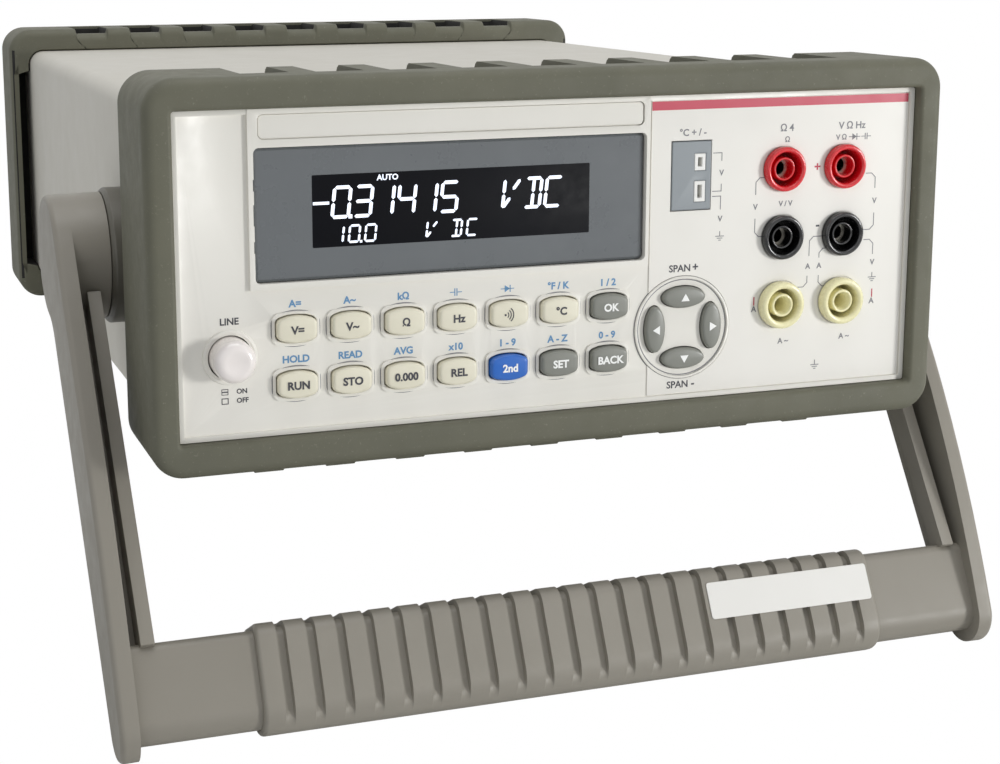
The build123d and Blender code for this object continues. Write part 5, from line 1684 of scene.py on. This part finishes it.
# -------------------------------------------------------------------------------------- power knob
@dataclass
class PowerKnob:
    """The round push button and the collar that it stands in."""

    centre: Point = (-92.1, -20.4)
    radius: float = 5.5
    proud: float = 8.0
    crown_round: float = 2.4
    dimple: float = 0.28
    mark_left: float = -94.4
    mark_size: float = 1.6
    mark_height: float = 1.4
    marks_x: float = -90.6
    collar_gap: float = 0.3
    collar_half: float = 0.7
    collar_rise: float = 0.6
    collar_depth: float = 2.4
    stem_radius: float = 2.0
    stem_end: float = 27.25
    skirt_end: float = 5.95

    def build(self) -> bpy.types.Object:
        """Turns the button: stem, skirt, side, a quarter-round edge, and a dished face."""
        face_radius = self.radius - self.crown_round
        crown = -self.proud + self.crown_round
        profile = [
            (AXIS, self.stem_end), (self.stem_radius, self.stem_end),
            (self.stem_radius, self.skirt_end), (self.radius, self.skirt_end), (self.radius, crown + 0.4),
            *((face_radius + along, crown - up)
              for along, up in arc((0.0, 0.0), self.crown_round, 0, 90, 12)),
            *((face_radius * share, self.dimple * (1 - share ** 2) - self.proud)
              for share in (0.8, 0.6, 0.4, 0.2, AXIS / face_radius)),
        ]
        return turned("power_button_knob", np.array(profile), self.centre, Finishes.knob, 96, ring=False)

    def collar(self) -> bpy.types.Object:
        """Turns the collar round the button's hole."""
        middle = self.radius + self.collar_gap + self.collar_half
        outer, inner = middle + self.collar_half, middle - self.collar_half
        profile = [(outer, PANEL_DEPTH), (outer, 0.0)]
        profile += [(middle + self.collar_half * along, -self.collar_rise * up) for along, up in HALF_TURN]
        profile += [(inner, self.collar_depth), (inner + PANEL_DEPTH, self.collar_depth)]
        return turned("power_collar", np.array(profile), self.centre, Finishes.panel, 96)

    def dress(self, legends: Legends) -> None:
        """Puts the button in place and prints its marks: a pressed button for on, and a free one for off."""
        settle(self.build(), "power_button", "knob_white", "power_button")
        settle(self.collar(), "instrument", "panel_plastic")
        for foot, words, width in ((-30.0, "ON", 0.16), (-32.4, "OFF", 0.22)):
            low = foot - 0.1
            legends.text(words, self.marks_x, foot, 1.3, Finishes.ink_dark, align=Align.LEFT)
            legends.border((self.mark_left, low, self.mark_left + self.mark_size, low + self.mark_height),
                           width, Finishes.ink_dark)
        legends.stroke([(self.mark_left, -29.4), (self.mark_left + self.mark_size, -29.4)], 0.3,
                       Finishes.ink_dark)
        legends.text("LINE", self.centre[0], -12.0, 1.8, Finishes.ink_dark, weight=0.06)


# ------------------------------------------------------------------------------------------ sockets
@dataclass
class Sockets:
    """The input sockets, the fuse holders and the thermocouple socket."""

    columns: dict[Side, float] = field(default_factory=lambda: {Side.LEFT: 65.05, Side.RIGHT: 84.1})
    rows: Place = (20.97, 1.92, -17.13)
    flange: float = 6.2
    proud: float = 2.4
    well: float = 4.7
    well_floor: float = 6.6
    tube: float = 3.3
    tube_crest: float = 0.35
    bore: float = 2.5
    body: float = 5.3
    length: float = 24.0
    tube_front: float = -1.0
    holder_flange: float = 6.6
    holder_proud: float = 3.2
    holder_well_floor: float = 5.8
    holder_crest: float = 0.4
    holder_tube_front: float = -2.3
    holder_bore: float = 2.05
    holder_bore_end: float = 14.8
    holder_inside: float = 3.35
    holder_body: float = 5.6
    holder_length: float = 34.0

    def crest(self, outer: float, inner: float, front: float, height: float, steps: int = 10) -> list[Point]:
        """The round front of a ring, as radius and y from its outer to its inner wall.

        Args:
            outer: the ring's outer radius.
            inner: its inner radius.
            front: y of its crest.
            height: how deep the rounding goes.
            steps: its number of steps.

        Returns:
            The points.
        """
        middle, half = (outer + inner) / 2, (outer - inner) / 2
        return [(middle + half * along, front + height - height * up)
                for along, up in arc((0.0, 0.0), 1.0, 0, 180, steps)]

    def jack_profile(self) -> np.ndarray:
        """A jack's section: body, flange with a round crest, well, inner tube and bore."""
        flange_height = (self.flange - self.well) / 2 * 1.15
        return np.array([
            (self.body, self.length), (self.body, -0.3), (self.flange, -0.3),
            *self.crest(self.flange, self.well, -self.proud, flange_height),
            (self.well, self.well_floor), (self.tube, self.well_floor),
            *self.crest(self.tube, self.tube - 2 * self.tube_crest, self.tube_front, self.tube_crest, 6),
            (self.bore, 0.2), (self.bore, self.length)])

    def holder_profile(self) -> np.ndarray:
        """A fuse holder's section: body, wide flange with a round crest, well, tube and bore."""
        flange_height = (self.holder_flange - self.well) / 2
        return np.array([
            (self.holder_inside, self.holder_length), (self.holder_body, self.holder_length),
            (self.holder_body, -0.35), (self.holder_flange, -0.35),
            *self.crest(self.holder_flange, self.well, -self.holder_proud, flange_height),
            (self.well, self.holder_well_floor), (self.tube, self.holder_well_floor),
            *self.crest(self.tube, self.tube - 2 * self.holder_crest, self.holder_tube_front,
                        self.holder_crest, 6),
            (self.holder_bore, -1.2), (self.holder_bore, self.holder_bore_end),
            (self.holder_inside, self.holder_bore_end + 0.2)])

    def jacks(self) -> None:
        """Turns the red and black jacks."""
        for row, colour, finish in ((0, "red", Finishes.jack_red), (1, "black", Finishes.jack_black)):
            for side, x in self.columns.items():
                name = f"{colour}_jack_{side.name.lower()}"
                jack = turned(name, self.jack_profile(), (x, self.rows[row]), finish)
                settle(jack, "instrument", f"jack_{colour}", f"{colour}_jacks")

    def holders(self) -> None:
        """Turns the cream fuse holders."""
        for side, x in self.columns.items():
            name = f"fuse_holder_{side.name.lower()}"
            cap = turned(name + "_cap", self.holder_profile(), (x, self.rows[2]), Finishes.jack_cream)
            settle(cap, name, "jack_cream", name)

    def dress(self) -> None:
        """Puts all the sockets in place."""
        self.jacks()
        self.holders()
        eased("thermocouple_socket", width=0.35)
        eased("thermocouple_contacts", width=0.2)


# -------------------------------------------------------------------------------------- the panel
@dataclass
class Panel:
    """The front panel, its printed overlay and the bare nameplate."""

    stripe: Edges = (24.7, 38.3, 104.1, 40.7)
    brackets: tuple[tuple[Point, ...], ...] = (
        ((59.6, 18.8), (57.8, 18.8), (56.6, 17.6), (56.6, 14.1)),
        ((56.6, 7.5), (56.6, 3.6), (57.8, 2.4), (59.2, 2.4)),
        ((91.3, 18.6), (93.2, 18.6), (94.4, 17.4), (94.4, 14.3)),
        ((94.4, 7.3), (94.4, 3.8), (93.2, 2.6), (91.2, 2.6)),
        ((79.0, 1.5), (75.2, 1.5), (74.0, 0.3), (74.0, -4.0)),
        ((73.6, -9.6), (73.6, -11.5), (72.4, -12.7), (70.6, -12.7)),
        ((79.2, -2.0), (78.4, -2.0), (77.2, -3.2), (77.2, -4.6)),
        ((77.2, -9.6), (77.2, -11.6), (78.4, -12.8), (79.6, -12.8)),
        ((91.4, -0.3), (93.3, -0.3), (94.5, -1.5), (94.5, -4.6)),
        ((43.2, 26.2), (45.9, 26.2), (45.9, 24.0)),
        ((45.9, 17.7), (45.9, 15.7), (43.2, 15.7)),
        ((43.2, 14.3), (45.8, 14.3), (45.8, 10.6)),
    )
    words: tuple[tuple[str, float, float, float], ...] = (
        ("°C + / -", 37.0, 31.2, 1.9), ("Ω 4", 65.8, 31.4, 2.0), ("V Ω Hz", 86.3, 31.4, 2.0),
        ("V", 45.9, 20.0, 1.6), ("V", 56.6, 10.0, 1.6), ("V", 94.4, 10.0, 1.6), ("V", 45.8, 7.3, 1.6),
        ("A", 73.7, -7.6, 1.6), ("A", 77.3, -7.6, 1.6), ("V", 94.5, -7.6, 1.6), ("V / V", 66.0, 10.6, 1.5),
        ("A", 57.0, -18.8, 1.7), ("A", 94.7, -18.8, 1.7), ("A ~", 66.6, -28.4, 1.6),
        ("A ~", 86.2, -28.4, 1.6),
    )
    small_words: tuple[tuple[str, float, float, float], ...] = (
        ("V Ω", 83.0, 28.4, 1.5), ("Ω", 66.0, 28.4, 1.5),
    )
    grounds: tuple[Point, ...] = ((45.8, 4.0), (94.6, -10.4), (77.0, -34.6))
    line_width: float = 0.22

    def marks(self, legends: Legends) -> None:
        """Prints the sockets' marks: unit signs, thin connecting lines and ground symbols."""
        grey, dark, red = Finishes.grey_ink_and_crease_shade, Finishes.ink_dark, Finishes.ink_red
        for path in self.brackets:
            legends.stroke(list(path), self.line_width, grey, OVERLAY)
        for words, *place in self.words:
            legends.text(words, *place, grey, OVERLAY)
        for words, *place in self.small_words:
            legends.text(words, *place, grey, OVERLAY, weight=0.04)
        for place in self.grounds:
            ground_mark(legends, *place, grey, OVERLAY, self.line_width)
        legends.text("+", 75.7, 19.9, 2.6, red, OVERLAY, weight=0.08)
        legends.text("-", 76.4, 3.7, 2.6, dark, OVERLAY, weight=0.1)
        for x in (57.0, 94.8):
            legends.stroke([(x, -14.6), (x, -17.0)], 0.34, red, OVERLAY)
        diode_mark(legends, 87.2, 29.1, grey, OVERLAY, 0.9)
        capacitor_mark(legends, 90.9, 29.1, grey, OVERLAY, 0.9)
        for sign, z in (("+", -6.0), ("-", -38.6)):
            legends.text(sign, 38.6, z, 2.3, dark, OVERLAY, weight=0.08)
            legends.text("SPAN", 37.2, z, 2.0, dark, OVERLAY, Align.RIGHT)

    def dress(self, legends: Legends) -> None:
        """Dresses the panel, and prints the stripe along the overlay's top."""
        eased("front_panel", width=0.25, segments=2, angle=50)
        eased("terminal_overlay", width=0.08)
        eased("nameplate", width=0.15)
        legends.box(self.stripe, Finishes.stripe, STRIPE)
        self.marks(legends)


# ----------------------------------------------------------------------------------- the remainder
@dataclass
class Chassis:
    """The case, the rear panel with its fittings, and what is inside."""

    eased_nodes: tuple[tuple[str, float], ...] = (
        ("case_sleeve", 0.4), ("rear_panel", 0.2), ("mains_inlet", 0.3), ("fuse_drawer", 0.3),
        ("usb_port", 0.2), ("bnc_sockets", 0.15), ("option_cover", 0.25), ("ground_terminal", 0.15),
        ("fixing_screws", 0.2),
    )
    plain_nodes: tuple[str, ...] = (
        "chassis_tray", "display_module", "keypad_mat", "front_board", "power_switch", "jack_contacts",
        "holder_shells", "meter_fuse_left", "meter_fuse_right", "pivot_pins", "main_board",
        "board_standoffs", "transformer", "input_shield", "inlet_pins", "line_fuse",
    )

    def dress(self) -> None:
        """Gives each piece its finish, and eases the edges of those that can be seen."""
        for node, width in self.eased_nodes:
            eased(node, width=width)
        for node in self.plain_nodes:
            source = frame["nodes"][node]
            source.data.materials.clear()
            source.data.materials.append(SLOT_FINISHES[slot_of(node)].material())


# -------------------------------------------------------------------------------------- the studio
@dataclass
class Studio:
    """A pale floor, soft lamps and the camera."""

    camera_place: Place = (-190.6, -440.8, 81.1)
    forward: Place = (0.3129, 0.9320, -0.1831)
    upward: Place = (0.0630, 0.1720, 0.9831)
    lens: float = 65.33
    shift_x: float = 0.0855
    shift_y: float = -0.0947
    ambient: float = 0.4
    floor_reach: float = 6.0
    lamp_target: Place = (0.0, -0.05, 0.08)
    white: tuple[float, float, float, float] = (1.0, 1.0, 1.0, 1.0)

    def camera(self) -> None:
        """Makes the camera, by its place and axes in the instrument's level frame."""
        camera = linked("camera", bpy.data.cameras.new("camera"))
        back = -STANCE.direction(self.forward).normalized()
        right = STANCE.direction(self.upward).cross(back).normalized()
        up = back.cross(right).normalized()
        matrix = Matrix((right, up, back)).transposed().to_4x4()
        matrix.translation = Vector(STANCE.place(np.array(self.camera_place)))
        camera.matrix_world = matrix
        camera.data.lens = self.lens
        camera.data.sensor_width = 36.0
        camera.data.shift_x = self.shift_x
        camera.data.shift_y = self.shift_y
        camera.data.clip_start = 0.01
        bpy.context.scene.camera = camera

    def world(self) -> None:
        """Lights everything evenly, and shows white to the camera and in reflections."""
        world = bpy.data.worlds.new("studio")
        tree = empty_tree(world)
        path = add_node(tree, "LightPath").outputs
        seen = path["Is Camera Ray"]
        for ray in ("Is Glossy Ray", "Is Transmission Ray"):
            seen = add_node(tree, "Math", {0: seen, 1: path[ray]}, operation="MAXIMUM").outputs["Value"]
        ambient = add_node(tree, "Background", {"Color": linear("EEF2FA"), "Strength": self.ambient})
        backdrop = add_node(tree, "Background", {"Color": self.white, "Strength": 1.0})
        mixed = add_node(tree, "MixShader", {
            0: seen, 1: ambient.outputs["Background"], 2: backdrop.outputs["Background"]})
        add_node(tree, "OutputWorld", {"Surface": mixed.outputs["Shader"]})
        bpy.context.scene.world = world

    def floor(self) -> None:
        """Makes the floor: matt white card, shown as pure white to the camera."""
        mesh = bpy.data.meshes.new("floor")
        reach = self.floor_reach
        mesh.from_pydata([(-reach, -reach, 0), (reach, -reach, 0), (reach, reach, 0), (-reach, reach, 0)],
                         [], [(0, 1, 2, 3)])
        material = bpy.data.materials.new("matt_white_sheet")
        tree = empty_tree(material)
        matt = add_node(tree, "BsdfDiffuse", {"Color": linear("F2F2F0")})
        shown = add_node(tree, "Emission", {"Color": self.white, "Strength": 1.0})
        mixed = add_node(tree, "MixShader", {
            0: add_node(tree, "LightPath").outputs["Is Camera Ray"],
            1: matt.outputs["BSDF"], 2: shown.outputs["Emission"]})
        add_node(tree, "OutputMaterial", {"Surface": mixed.outputs["Shader"]})
        mesh.materials.append(material)
        linked("floor", mesh)

    def lamp(self, name: str, place: Place, size: Point, power: float) -> None:
        """Adds a rectangular soft lamp that looks at the instrument.

        Args:
            name: its name.
            place: where it hangs, in the frame's metres.
            size: its width and height in metres.
            power: its power in watts.
        """
        light = bpy.data.lights.new(name, "AREA")
        light.shape = "RECTANGLE"
        light.size, light.size_y = size
        light.energy = power
        lamp = linked(name, light)
        lamp.location = place
        lamp.rotation_euler = (Vector(self.lamp_target) - Vector(place)).to_track_quat("-Z", "Y").to_euler()

    def lamps(self) -> None:
        """Hangs the lamps: the key from the front right, a fill from the front left, one above."""
        self.lamp("key_lamp", (0.95, -0.97, 0.33), (0.24, 0.24), 8.6)
        self.lamp("fill_lamp", (-0.95, -0.9, 0.7), (0.9, 0.9), 1.6)
        self.lamp("top_lamp", (0.0, 0.1, 1.4), (1.1, 0.9), 8.5)

    def build(self) -> None:
        """Sets up the studio."""
        self.camera()
        self.world()
        self.floor()
        self.lamps()
        bpy.context.scene.view_settings.view_transform = "Standard"


def main() -> None:
    """Builds the studio and dresses the instrument, one sub-assembly after another."""
    logging.basicConfig(level=logging.INFO, format="%(name)s: %(message)s")
    Studio().build()
    legends = Legends()
    FrontBumper().dress()
    RearBumper().dress()
    Handle().dress()
    Panel().dress(legends)
    Display().dress(legends)
    Keypad().dress(legends)
    PowerKnob().dress(legends)
    Sockets().dress()
    Chassis().dress()
    legends.finish()


if __name__ == "__main__":
    main()
